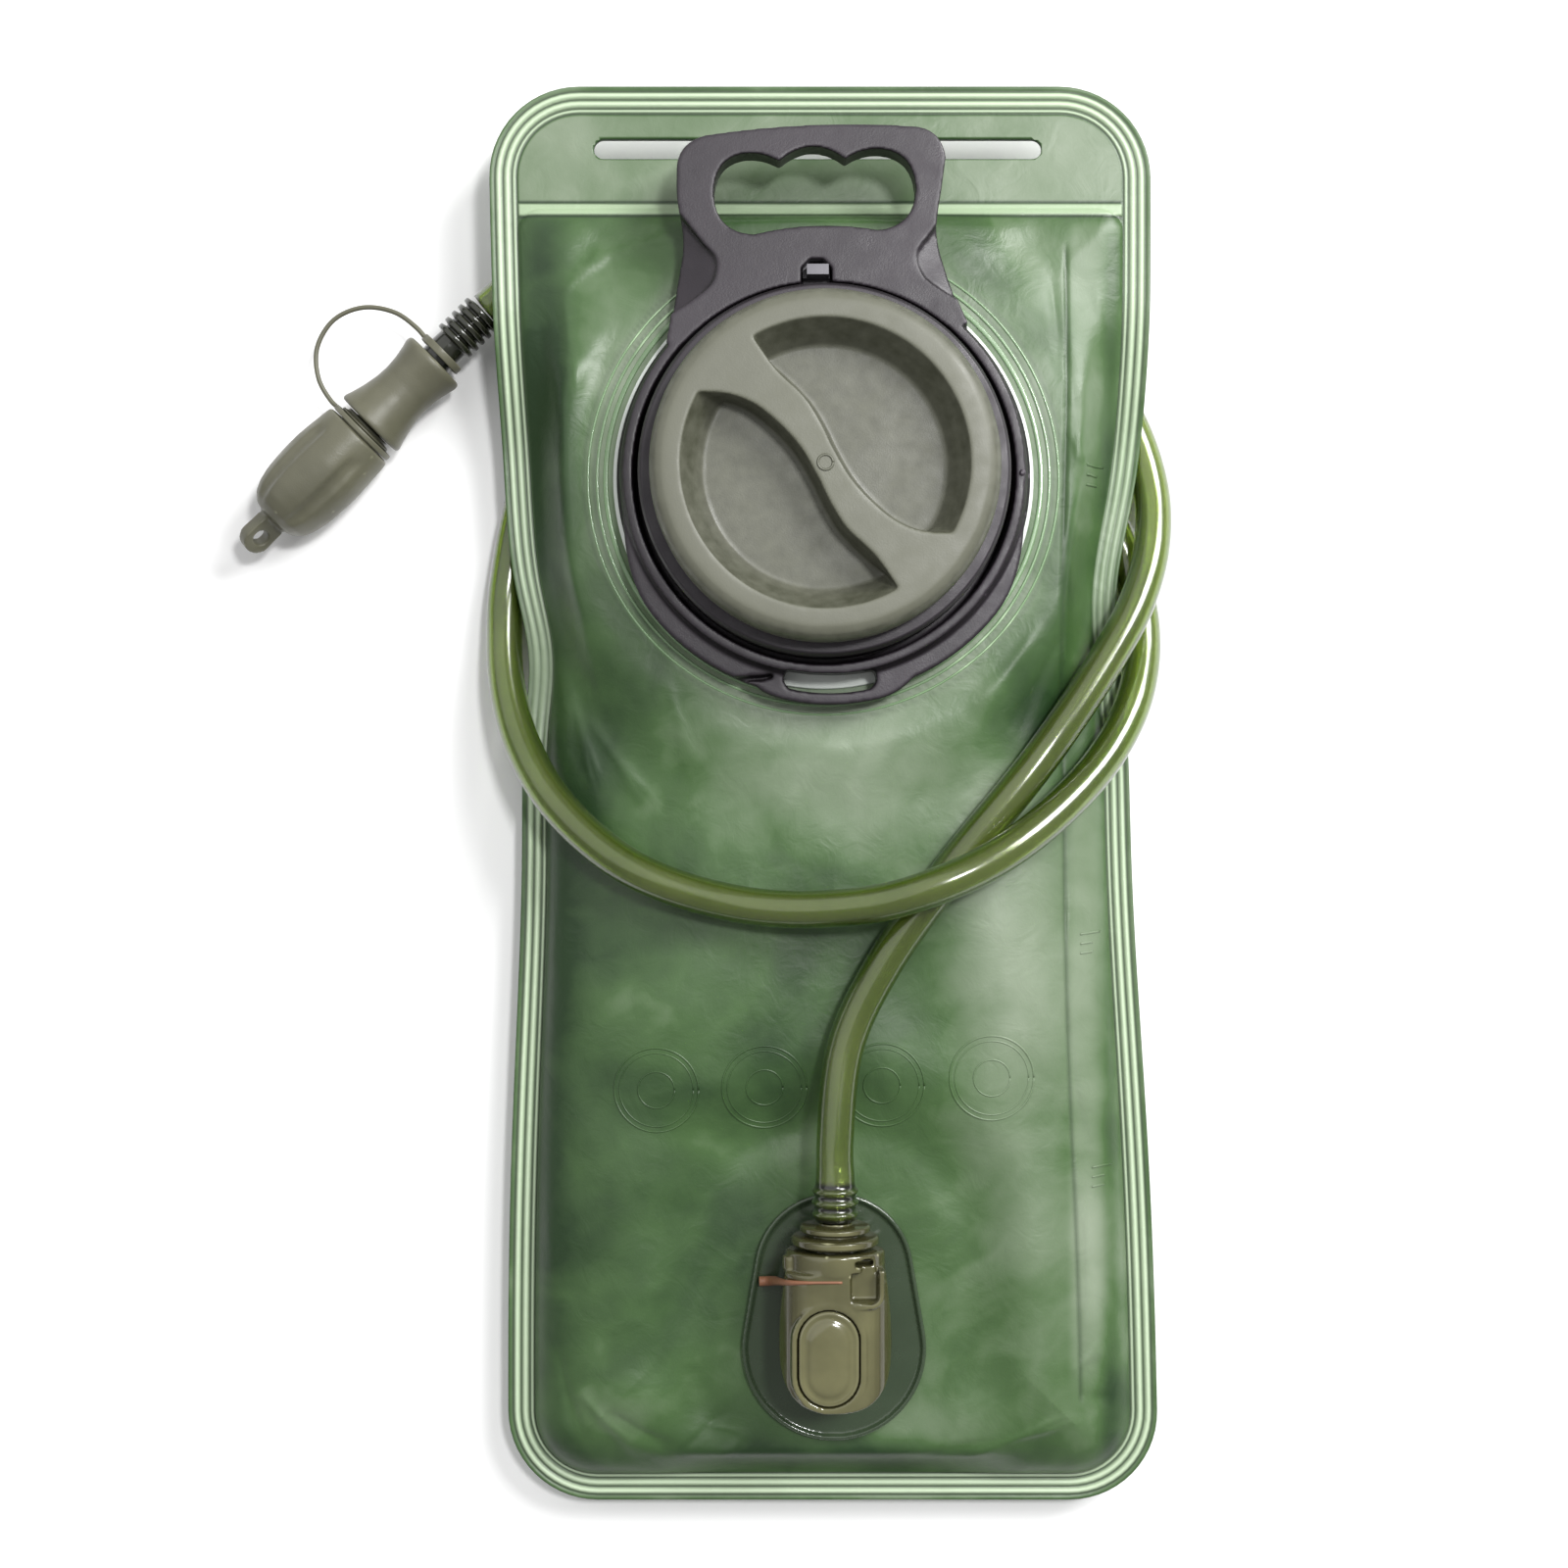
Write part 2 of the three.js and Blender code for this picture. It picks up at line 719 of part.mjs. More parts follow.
function eggOutline(topRadius, bottomRadius, height) {
  const shape = new THREE.Shape();
  const top = height / 2 - topRadius;
  const bottom = bottomRadius - height / 2;
  const tilt = Math.asin((bottomRadius - topRadius) / (top - bottom));
  shape.absarc(0, top, topRadius, tilt, Math.PI - tilt, false);
  shape.absarc(0, bottom, bottomRadius, Math.PI - tilt, 2 * Math.PI + tilt, false);
  shape.closePath();
  return shape;
}

function outletFlange() {
  const { topRadius, bottomRadius, height, thickness } = FLANGE;
  const plate = prism(eggOutline(topRadius, bottomRadius, height), GAP, GAP + thickness);
  const spigot = turned([[0, -4], [4.8, -4], [4.8, GAP + 1], [0, GAP + 1]], 20);
  const duct = turned([[0, -10], [3.6, -10], [3.6, 10], [0, 10]], 20);
  const { ductY } = OUTLET;
  return cut(join(plate, spigot.translate(0, ductY, 0)), duct.translate(0, ductY, 0));
}

function socketPlan() {
  const { width, topWidth, top, bottom } = SOCKET;
  const shape = new THREE.Shape();
  shape.moveTo(topWidth / 2, top);
  shape.lineTo(-topWidth / 2, top);
  shape.quadraticCurveTo(-width / 2 - 0.6, 0, -width / 2, bottom + 13);
  shape.bezierCurveTo(-width / 2, bottom + 3, -width / 4, bottom, 0, bottom);
  shape.bezierCurveTo(width / 4, bottom, width / 2, bottom + 3, width / 2, bottom + 13);
  shape.quadraticCurveTo(width / 2 + 0.6, 0, topWidth / 2, top);
  return shape;
}

function socketSection() {
  const { width, base, height } = SOCKET;
  const half = width / 2 + 1;
  const shape = new THREE.Shape();
  shape.moveTo(-half, base);
  shape.lineTo(half, base);
  shape.lineTo(half, base + 6);
  shape.bezierCurveTo(half, height - 3, half - 5, height, half - 9, height);
  shape.lineTo(9 - half, height);
  shape.bezierCurveTo(5 - half, height, -half, height - 3, -half, base + 6);
  shape.closePath();
  return shape;
}

const LATCH = {
  low: 6.6,
  high: 8.6,
  halfWidth: 8.4,
  bottom: 4.6,
  top: 20.6,
  hole: 6.1,
  lift: 1.4,
  travel: 1.2,
};

function outletSocket() {
  const { axis, top } = SOCKET;
  const block = common(
    prism(socketPlan(), SOCKET.base, SOCKET.height, 8),
    prism(socketSection(), -25, 25, 6).rotateX(Math.PI / 2),
  );
  const bandEnd = 19.7;
  const band = turnedAlongY([
    [0, top - 1],
    [9.4, top - 1],
    [9.9, top],
    [9.9, bandEnd - 0.7],
    [9.2, bandEnd],
    [0, bandEnd],
  ], 0, 28);
  const bore = turnedAlongY([[0, 1.4], [PLUG.bore, 1.4], [PLUG.bore, 30], [0, 30]], axis, 22);
  const chamber = turnedAlongY([[0, -15], [4.6, -15], [4.6, 5], [0, 5]], axis, 18);
  const duct = turned([[0, 0], [3.6, 0], [3.6, axis], [0, axis]], 20).translate(0, OUTLET.ductY, 0);
  const pocketShape = racetrack(BUTTON.width + 0.7, BUTTON.length + 0.7);
  const pocket = prism(pocketShape, BUTTON.floor, 40, 10).translate(BUTTON.x, BUTTON.y, 0);
  const side = LATCH.halfWidth + 0.35;
  const slotLow = LATCH.bottom - LATCH.travel - 0.35;
  const latchSlot = box([-side, LATCH.low - 0.35, slotLow], [side, LATCH.high + 0.35, LATCH.top + 0.4]);
  const armSlot = box([-3.4, 0, BUTTON.floor], [3.4, LATCH.high + 0.35, LATCH.top + 0.4]);
  const notch = box([9.6, 3.6, 15.2], [20, 12.4, 40]);
  const solid = join(block, band.scale(1.24, 1, 1).translate(0, 0, axis));
  return cut(solid, bore, chamber, duct, pocket, latchSlot, armSlot, notch);
}

function releaseButton() {
  const { x, y, width, length, bottom, top } = BUTTON;
  const body = prism(racetrack(width, length), bottom, top - 0.8, 10);
  const pad = prism(racetrack(width - 3, length - 3), top - 1.4, top, 10);
  return join(body, pad).translate(x, y, 0);
}

function latchPlate() {
  const { low, high, halfWidth, bottom, top, hole, lift } = LATCH;
  const plate = box([-halfWidth, low, bottom], [halfWidth, high, top - 0.6]);
  const opening = turnedAlongY([
    [0, low - 1],
    [hole, low - 1],
    [hole, high + 1],
    [0, high + 1],
  ], SOCKET.axis + lift, 28);
  return cut(plate, opening);
}

function buttonSpring() {
  const ring = new THREE.TorusGeometry(3.2, 0.5, 6, 16);
  return facesOut(ring).translate(BUTTON.x, BUTTON.y, BUTTON.floor + 0.7);
}

function hosePlug() {
  const { body, passage, innerEnd, outerEnd } = PLUG;
  const grooveRoot = 3.7;
  const barbs = [35, 32.2, 29.4].flatMap((start) => [
    [4.2, start + 0.9],
    [4.95, start - 0.4],
    [4.95, start - 1.2],
    [4.2, start - 1.8],
  ]);
  return turnedAlongY([
    [passage, outerEnd],
    [4.2, outerEnd],
    ...barbs,
    [4.2, 25.4],
    [7.4, 25.2],
    [7.4, 23.4],
    [5.6, 23],
    [5.6, 22.8],
    [10.2, 22.6],
    [10.2, 20.2],
    [body, 20],
    [body, 13.6],
    [grooveRoot, 13.4],
    [grooveRoot, 11.2],
    [body, 11],
    [body, 9.2],
    [4.2, 9],
    [4.2, 6],
    [body, 5.4],
    [body - 0.8, innerEnd],
    [passage, innerEnd],
    [passage, outerEnd],
  ], SOCKET.axis, 18);
}

function plugORing() {
  const ring = new THREE.TorusGeometry(4.75, 0.68, 7, 20).rotateX(Math.PI / 2);
  return facesOut(ring).translate(0, 12.3, SOCKET.axis);
}

function checkPoppet() {
  const { back, rim, stem, front } = POPPET;
  return turnedAlongY([
    [0, back],
    [rim - 0.65, back],
    [rim, back + 0.8],
    [rim, back + 2.6],
    [2.4, -1],
    [stem, -0.8],
    [stem, front],
    [0, front],
  ], SOCKET.axis, 16);
}

function poppetSpring() {
  const { radius, pitch, turns, wire } = POPPET_SPRING;
  const path = helix(radius, pitch, turns, 0, 9);
  const coil = tubeAlong(path.curve, wire, 4, path.steps);
  return coil.rotateX(Math.PI / 2).translate(0, POPPET.back + 0.1 - GAP - wire, SOCKET.axis);
}

function outlet() {
  const group = new THREE.Group();
  group.position.set(OUTLET.x, OUTLET.y, OUTLET.level);
  group.add(
    mesh('outlet_flange', outletFlange(), SMOKED_PLASTIC),
    mesh('outlet_socket', outletSocket(), AMBER_PLASTIC),
    mesh('release_button', releaseButton(), AMBER_PLASTIC),
    mesh('latch_plate', latchPlate(), STEEL),
    mesh('button_spring', buttonSpring(), SILICONE),
    mesh('hose_plug', hosePlug(), AMBER_PLASTIC),
    mesh('plug_o_ring', plugORing(), ORANGE_RUBBER),
    mesh('check_poppet', checkPoppet(), GREY_PLASTIC),
    mesh('poppet_spring', poppetSpring(), STEEL),
  );
  return group;
}

// ---------------------------------------------------------------- hose

function hose() {
  const points = HOSE_ROUTE.map((point) => new THREE.Vector3(...point));
  const curve = new THREE.CatmullRomCurve3(points, false, 'centripetal');
  return tubeAlong(curve, HOSE.radius, HOSE.sides, HOSE.steps);
}

// ---------------------------------------------------------------- bite valve
// The valve's group has its X axis along the valve, from the hose to the tip of the dust cover.

function valveAdapter() {
  const barbs = [1.2, 3.5, 5.8, 8.1, 10.4].flatMap((start) => [
    [4.3, start - 0.7],
    [5.1, start - 0.2],
    [5.1, start + 0.7],
    [4.3, start + 1.2],
  ]);
  return turnedAlongX([
    [2.2, GAP],
    [4.3, GAP],
    ...barbs,
    [4.3, 17.4],
    [4.3, 20.2],
    [3.5, 20.3],
    [3.5, 22.7],
    [4.3, 22.8],
    [4.3, 26.6],
    [2.2, 26.6],
    [2.2, GAP],
  ], 16);
}

function adapterORing() {
  return facesOut(new THREE.TorusGeometry(4.55, 0.7, 7, 18).rotateY(Math.PI / 2)).translate(21.5, 0, 0);
}

function biteValveBody() {
  const seat = 5.6;
  const bore = 4.2;
  return turnedAlongX([
    [seat, 17.9],
    [7.9, 17.9],
    [8.3, 18.6],
    [7.9, 21.5],
    [7.3, 26.5],
    [7.3, 30],
    [7.9, 34.5],
    [8.9, 38.6],
    [9.5, 40.8],
    [9.1, 41.4],
    [bore, 41.4],
    [bore, 27.2],
    [seat, 27],
    [seat, 17.9],
  ], 24);
}

function valveStem() {
  return turnedAlongX([[0, 28], [1.5, 28], [1.5, 48], [2.3, 52], [2.3, 54.5], [0, 55.5]], 16);
}

// The stem stands on three ribs inside the valve's body.
function stemSpider() {
  const hub = turnedAlongX(closedRing(1.8, 2.6, 30, 34), 16);
  const ribs = [0, 1, 2].map((i) => box([30, -0.5, 2.3], [34, 0.5, 3.9]).rotateX((2 * Math.PI * i) / 3));
  return join(hub, ...ribs);
}

function mouthpiece() {
  return turnedAlongX([
    [2.8, 36],
    [3.8, 36],
    [3.8, 41.8],
    [6.4, 41.8],
    [6.4, 42.5],
    [7.4, 42.7],
    [7.4, 43.3],
    [6.4, 43.5],
    [6.4, 46.5],
    [7.2, 48],
    [7.2, 50.5],
    [6.2, 53],
    [5.8, 60],
    [5, 62],
    [3.2, 62],
    [3.2, 40],
    [2.8, 39],
    [2.8, 36],
  ], 20);
}

function dustCover() {
  const shell = turnedAlongX([
    [7.9, 45.2],
    [9.3, 45.2],
    [9.7, 45.7],
    [10.5, 52],
    [10.8, 60],
    [10.4, 67],
    [9, 72.4],
    [6.2, 75.4],
    [3.2, 76.4],
    [0, 76.6],
    [0, 69.5],
    [5, 69.3],
    [7.9, 66.5],
    [7.9, 45.2],
  ], 28);
  const tip = new THREE.Shape();
  tip.moveTo(75.6, -3.4);
  tip.lineTo(82.6, -3.6);
  tip.absarc(82.6, 0, 3.6, -Math.PI / 2, Math.PI / 2, false);
  tip.lineTo(75.6, 3.4);
  tip.closePath();
  const hole = new THREE.Shape().absarc(82.6, 0, 1.6, 0, 2 * Math.PI, false);
  return join(shell, cut(prism(tip, -1.8, 1.8, 10), prism(hole, -5, 5, 8)));
}

const TETHER_WIRE = 0.7;

// A soft ring round the adapter's neck, a thin bowed strap, and a ring under the cover's rim.
function tether() {
  const neckRing = turnedAlongX(closedRing(4.7, 6.2, 14.6, 16.6), 18);
  const rimRing = turnedAlongX(closedRing(8.2, 9.3, 43.4, 44.8), 24);
  const strap = new THREE.CatmullRomCurve3([
    new THREE.Vector3(15.6, -5.6, 0),
    new THREE.Vector3(15.4, -9.5, 0),
    new THREE.Vector3(16.6, -16, 0),
    new THREE.Vector3(21.5, -22.6, 0),
    new THREE.Vector3(29, -25.6, 0),
    new THREE.Vector3(37, -23.6, 0),
    new THREE.Vector3(42.4, -17.6, 0),
    new THREE.Vector3(44.1, -11.5, 0),
    new THREE.Vector3(44.1, -8.9, 0),
  ]);
  return join(neckRing, rimRing, tubeAlong(strap, TETHER_WIRE, 6, 20));
}

function biteValve() {
  const group = new THREE.Group();
  group.position.set(VALVE.x, VALVE.y, VALVE.z);
  group.rotation.z = VALVE.heading;
  group.add(
    mesh('valve_adapter', valveAdapter(), VALVE_RUBBER),
    mesh('adapter_o_ring', adapterORing(), SEAL_RUBBER),
    mesh('bite_valve_body', biteValveBody(), VALVE_RUBBER),
    mesh('valve_stem', valveStem(), GREY_PLASTIC),
    mesh('stem_spider', stemSpider(), GREY_PLASTIC),
    mesh('mouthpiece', mouthpiece(), VALVE_RUBBER),
    mesh('dust_cover', dustCover(), VALVE_RUBBER),
    mesh('tether', tether(), VALVE_RUBBER),
  );
  return group;
}

// ---------------------------------------------------------------- assembly

const bladder = new THREE.Group();
bladder.add(
  mesh('back_sheet', backSheet(), FILM),
  mesh('front_sheet', frontSheet(), FILM),
  fillPort(),
  outlet(),
  mesh('hose', hose(), HOSE_TPU),
  biteValve(),
);

export default bladder;
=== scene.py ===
# The looks of a hydration bladder: film bag, screw-cap fill port with a handle, quick-release outlet,
# drinking hose and bite valve. Lengths here are in millimetres unless a name says otherwise.
import math

import bmesh
import bpy
import numpy as np
from mathutils import Matrix, Vector


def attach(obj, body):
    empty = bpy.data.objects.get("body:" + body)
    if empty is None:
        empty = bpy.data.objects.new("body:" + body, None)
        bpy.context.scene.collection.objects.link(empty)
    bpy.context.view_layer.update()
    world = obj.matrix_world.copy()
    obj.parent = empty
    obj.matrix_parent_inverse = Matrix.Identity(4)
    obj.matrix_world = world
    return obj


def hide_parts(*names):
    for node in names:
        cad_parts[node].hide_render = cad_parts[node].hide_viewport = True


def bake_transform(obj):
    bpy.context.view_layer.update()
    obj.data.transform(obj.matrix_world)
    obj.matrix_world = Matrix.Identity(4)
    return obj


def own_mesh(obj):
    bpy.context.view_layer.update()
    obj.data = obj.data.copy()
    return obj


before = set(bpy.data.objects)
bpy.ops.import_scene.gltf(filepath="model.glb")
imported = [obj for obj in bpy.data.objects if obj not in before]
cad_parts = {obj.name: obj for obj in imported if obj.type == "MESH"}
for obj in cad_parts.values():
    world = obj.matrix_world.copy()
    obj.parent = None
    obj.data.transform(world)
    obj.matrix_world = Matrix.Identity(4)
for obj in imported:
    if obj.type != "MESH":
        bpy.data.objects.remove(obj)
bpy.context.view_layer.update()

MM = 0.001

# ---- dimensions, as in the CAD model

BAG_HALF_LENGTH = 180
BAG_HALF_WIDTH = 83.6
BAG_CORNER = 23
WAIST_DEPTH = 5.4
WAIST_SPREAD = 85
LEAN = 0.011
SEAM_WIDTH = 7
FILM = 0.6
GAP = 0.3
TUCKS = {-1: (3.2, 37, 17), 1: (5, 52, 26)}
POUCH_TOP = 149
POUCH_TOP_RADIUS = 6
POUCH_BOTTOM_RADIUS = 16
POUCH_BOTTOM = SEAM_WIDTH - BAG_HALF_LENGTH
FRONT_LEVEL = 24
EDGE_RUN = 42
BACK_RUN = 30
PORT = (-1, 80, 26)
PORT_SEAT = 64.5
PORT_BLEND = 20
OUTLET = (1.8, -130, 19.3)
OUTLET_BLEND = 24
SLOT = {"x": -2.3, "y": 164.2, "width": 113, "height": 5}
VALVE = (-87.4, 125, 11.2)
VALVE_HEADING = math.radians(224.6)
HOSE_RADIUS = 4.65
PLUG_AXIS = 13.3

# The hose's centre line, from the plug's barb to the bite valve's adapter.
HOSE_ROUTE = [
    (1.8, -93.7, 32.6), (1.8, -84, 32.3), (4.6, -60.6, 29.8), (14, -40.8, 29), (31, -17, 29),
    (53, 10.4, 27.6), (71.4, 37, 20.8), (78.6, 50, 17), (83.2, 65, 12.4), (83.6, 80.5, 7.7),
    (77.2, 100, 4.9), (60, 122.6, 4.8), (27, 141, 4.8), (-15, 142.4, 4.8), (-52, 123.8, 4.8),
    (-75, 87, 4.8), (-82.4, 56, 5.1), (-82.9, 43, 7.3), (-81.6, 29, 11.6), (-76.6, 13, 17.2),
    (-66.6, -2.2, 23.8), (-48, -17.2, 29), (-20, -26, 30.6), (8, -25.8, 36.2), (25, -21.4, 39.1),
    (42, -13.6, 36.2), (58, -1.8, 29), (71, 12, 20), (78.4, 25.6, 14.2), (81.5, 40, 8.2), (80, 54.6, 5),
    (71.4, 76, 4.8), (51, 101.6, 4.8), (20, 123.2, 5.8), (-8, 134, 11.6), (-27, 138.2, 14.6),
    (-49, 140.4, 12.8), (-63.5, 138.9, 11.7), (-76.2, 133.9, 11.3), (-87.2, 125.2, 11.2),
]
BARB_COVER = 9.6


# ---- camera


def make_camera():
    """A camera straight above, at the photo's distance. Its place is in metres."""
    data = bpy.data.cameras.new("camera")
    data.sensor_width = 36
    data.lens = 51.0
    camera = bpy.data.objects.new("camera", data)
    camera.location = (-0.0108, 0.004, 0.58)
    bpy.context.scene.collection.objects.link(camera)
    bpy.context.scene.camera = camera


# ---- mesh helpers


def add_mesh(name, points, faces, material=None):
    """A smooth-shaded object from points in millimetres."""
    mesh = bpy.data.meshes.new(name)
    mesh.from_pydata((np.asarray(points, float) * MM).tolist(), [], faces)
    mesh.validate()
    mesh.shade_smooth()
    obj = bpy.data.objects.new(name, mesh)
    bpy.context.scene.collection.objects.link(obj)
    if material:
        mesh.materials.append(material)
    return obj


def clean(obj, distance=1e-6):
    """Merges doubled points and turns every face outwards."""
    work = bmesh.new()
    work.from_mesh(obj.data)
    bmesh.ops.remove_doubles(work, verts=work.verts, dist=distance)
    bmesh.ops.dissolve_degenerate(work, edges=work.edges, dist=distance)
    bmesh.ops.recalc_face_normals(work, faces=work.faces)
    work.to_mesh(obj.data)
    work.free()
    obj.data.shade_smooth()
    return obj


def apply_modifiers(obj):
    """Replaces the mesh by what its modifiers make of it."""
    graph = bpy.context.evaluated_depsgraph_get()
    mesh = bpy.data.meshes.new_from_object(obj.evaluated_get(graph))
    obj.modifiers.clear()
    obj.data = mesh
    mesh.name = obj.name
    mesh.shade_smooth()
    return obj


def ring_faces(rows, columns):
    """Quads between rings of points, each ring a row that closes on itself."""
    faces = []
    for i in range(rows - 1):
        for j in range(columns):
            k = (j + 1) % columns
            faces.append((i * columns + j, i * columns + k, (i + 1) * columns + k, (i + 1) * columns + j))
    return faces


def capped_faces(rows, columns):
    """Quads between rings of points, with a face over the first ring and over the last."""
    first = range(columns)
    last = range((rows - 1) * columns, rows * columns)
    return ring_faces(rows, columns) + [tuple(reversed(first)), tuple(last)]


def rounded(pairs, radius, steps=3):
    """A closed polygon with its corners turned into small arcs, except on the axis."""
    result = []
    count = len(pairs)
    for i, (x, y) in enumerate(pairs):
        before, here, after = (Vector(pairs[(i + k) % count]) for k in (-1, 0, 1))
        if x < 1e-6:
            result.append((x, y))
            continue
        back = (before - here).length
        forward = (after - here).length
        reach = min(radius, 0.45 * back, 0.45 * forward)
        start = here + (before - here) * (reach / back)
        end = here + (after - here) * (reach / forward)
        for step in range(steps + 1):
            t = step / steps
            result.append(tuple(start * (1 - t) ** 2 + here * (2 * t * (1 - t)) + end * t**2))
    return result


def lathe(name, pairs, material, place=None, segments=96, radius=0.4, wave=None):
    """A closed body of revolution about Z. Pairs are radius and height, wave scales a radius by its angle."""
    outline = rounded(pairs, radius)
    points = []
    for r, h in outline:
        for j in range(segments):
            angle = 2 * math.pi * j / segments
            reach = r * (wave(r, h, angle) if wave else 1)
            points.append((reach * math.cos(angle), reach * math.sin(angle), h))
    faces = ring_faces(len(outline), segments)
    last = (len(outline) - 1) * segments
    if outline[0][0] > 1e-6 or outline[-1][0] > 1e-6:
        for j in range(segments):
            k = (j + 1) % segments
            faces.append((last + j, last + k, k, j))
    obj = clean(add_mesh(name, points, faces, material))
    if place is not None:
        put(obj, place)
    return obj


def put(obj, place):
    """Moves a mesh's points by a matrix whose shift is in millimetres."""
    matrix = place.copy()
    matrix.translation *= MM
    obj.data.transform(matrix)
    return obj


def prism(name, outline, low, high, shrink=None):
    """A closed prism over an outline. shrink is the outline at the low end, whose height may depend on x."""
    count = len(outline)
    bottom = shrink or outline
    floor = low if callable(low) else lambda x: low
    points = [(x, y, floor(x)) for x, y in bottom] + [(x, y, high) for x, y in outline]
    return clean(add_mesh(name, points, capped_faces(2, count)))


def arc(x, y, radius, start, end, steps):
    """Points on an arc, with angles in degrees."""
    angles = np.radians(np.linspace(start, end, steps + 1))
    return [(x + radius * math.cos(a), y + radius * math.sin(a)) for a in angles]


def circle(radius, count):
    """Points round a whole circle, the first of which comes again at the end."""
    return [(radius * math.cos(a), radius * math.sin(a)) for a in np.linspace(0, 2 * math.pi, count)]


def racetrack(width, length, steps=20):
    reach = length / 2 - width / 2
    return arc(0, reach, width / 2, 0, 180, steps) + arc(0, -reach, width / 2, 180, 360, steps)


def weigh(first, second, low, high, t):
    """The point between two others that t marks between low and high."""
    return (first * (high - t) + second * (t - low)) / (high - low)


def smooth_line(points, steps):
    """Catmull-Rom points through the given ones."""
    points = [np.array(p, float) for p in points]
    padded = [2 * points[0] - points[1], *points, 2 * points[-1] - points[-2]]
    result = []
    for a, b, c, d in zip(padded, padded[1:], padded[2:], padded[3:]):
        knots = [0.0]
        for p, q in ((a, b), (b, c), (c, d)):
            knots.append(knots[-1] + max(np.linalg.norm(q - p), 1e-9) ** 0.5)
        for step in range(steps):
            t = knots[1] + (knots[2] - knots[1]) * step / steps
            spans = zip((a, b, c), (b, c, d), knots, knots[1:])
            sides = [weigh(p, q, low, high, t) for p, q, low, high in spans]
            halves = [weigh(sides[i], sides[i + 1], knots[i], knots[i + 2], t) for i in (0, 1)]
            result.append(weigh(*halves, knots[1], knots[2], t))
    result.append(points[-1])
    return result


def combine(base, others, operation):
    """A boolean of closed meshes. The others are used up."""
    for other in others:
        modifier = base.modifiers.new("bool", "BOOLEAN")
        modifier.operation = operation
        modifier.solver = "MANIFOLD"
        modifier.object = other
        apply_modifiers(base)
        bpy.data.objects.remove(other)
    return base


def moulded(base, adds, cuts, voxel, passes):
    """Joins and cuts closed meshes, then softens every edge as moulding does."""
    combine(base, list(adds), "UNION")
    combine(base, list(cuts), "DIFFERENCE")
    remesh = base.modifiers.new("remesh", "REMESH")
    remesh.mode = "VOXEL"
    remesh.voxel_size = voxel * MM
    soften = base.modifiers.new("soften", "SMOOTH")
    soften.iterations = passes
    apply_modifiers(base)
    return base


def sweep(name, path, radius_at, sides, material, inner_at=None):
    """A tube along a path, hollow where inner_at gives its bore."""
    path = [Vector(p) for p in path]
    count = len(path)
    tangents = [(path[min(i + 1, count - 1)] - path[max(i - 1, 0)]).normalized() for i in range(count)]
    side = tangents[0].orthogonal().normalized()
    frames = []
    for tangent in tangents:
        side = (side - tangent * side.dot(tangent)).normalized()
        frames.append((side.copy(), tangent.cross(side)))
    rings = [(i, radius_at(i)) for i in range(count)]
    if inner_at:
        rings += [(i, inner_at(i)) for i in reversed(range(count))]
    points = []
    for i, radius in rings:
        across, up = frames[i]
        for j in range(sides):
            angle = 2 * math.pi * j / sides
            points.append(path[i] + (across * math.cos(angle) + up * math.sin(angle)) * radius)
    if inner_at:
        last = (len(rings) - 1) * sides
        faces = ring_faces(len(rings), sides)
        faces += [(last + j, last + (j + 1) % sides, (j + 1) % sides, j) for j in range(sides)]
    else:
        faces = capped_faces(len(rings), sides)
    return clean(add_mesh(name, [tuple(p) for p in points], faces, material))


def in_frame(obj, slot, body, *nodes):
    """Hides the CAD nodes that a piece stands for and attaches it to the body that it rides. The slot
    argument is not used.
    """
    if nodes:
        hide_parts(*nodes)
    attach(obj, body)
    return obj


# ---- materials


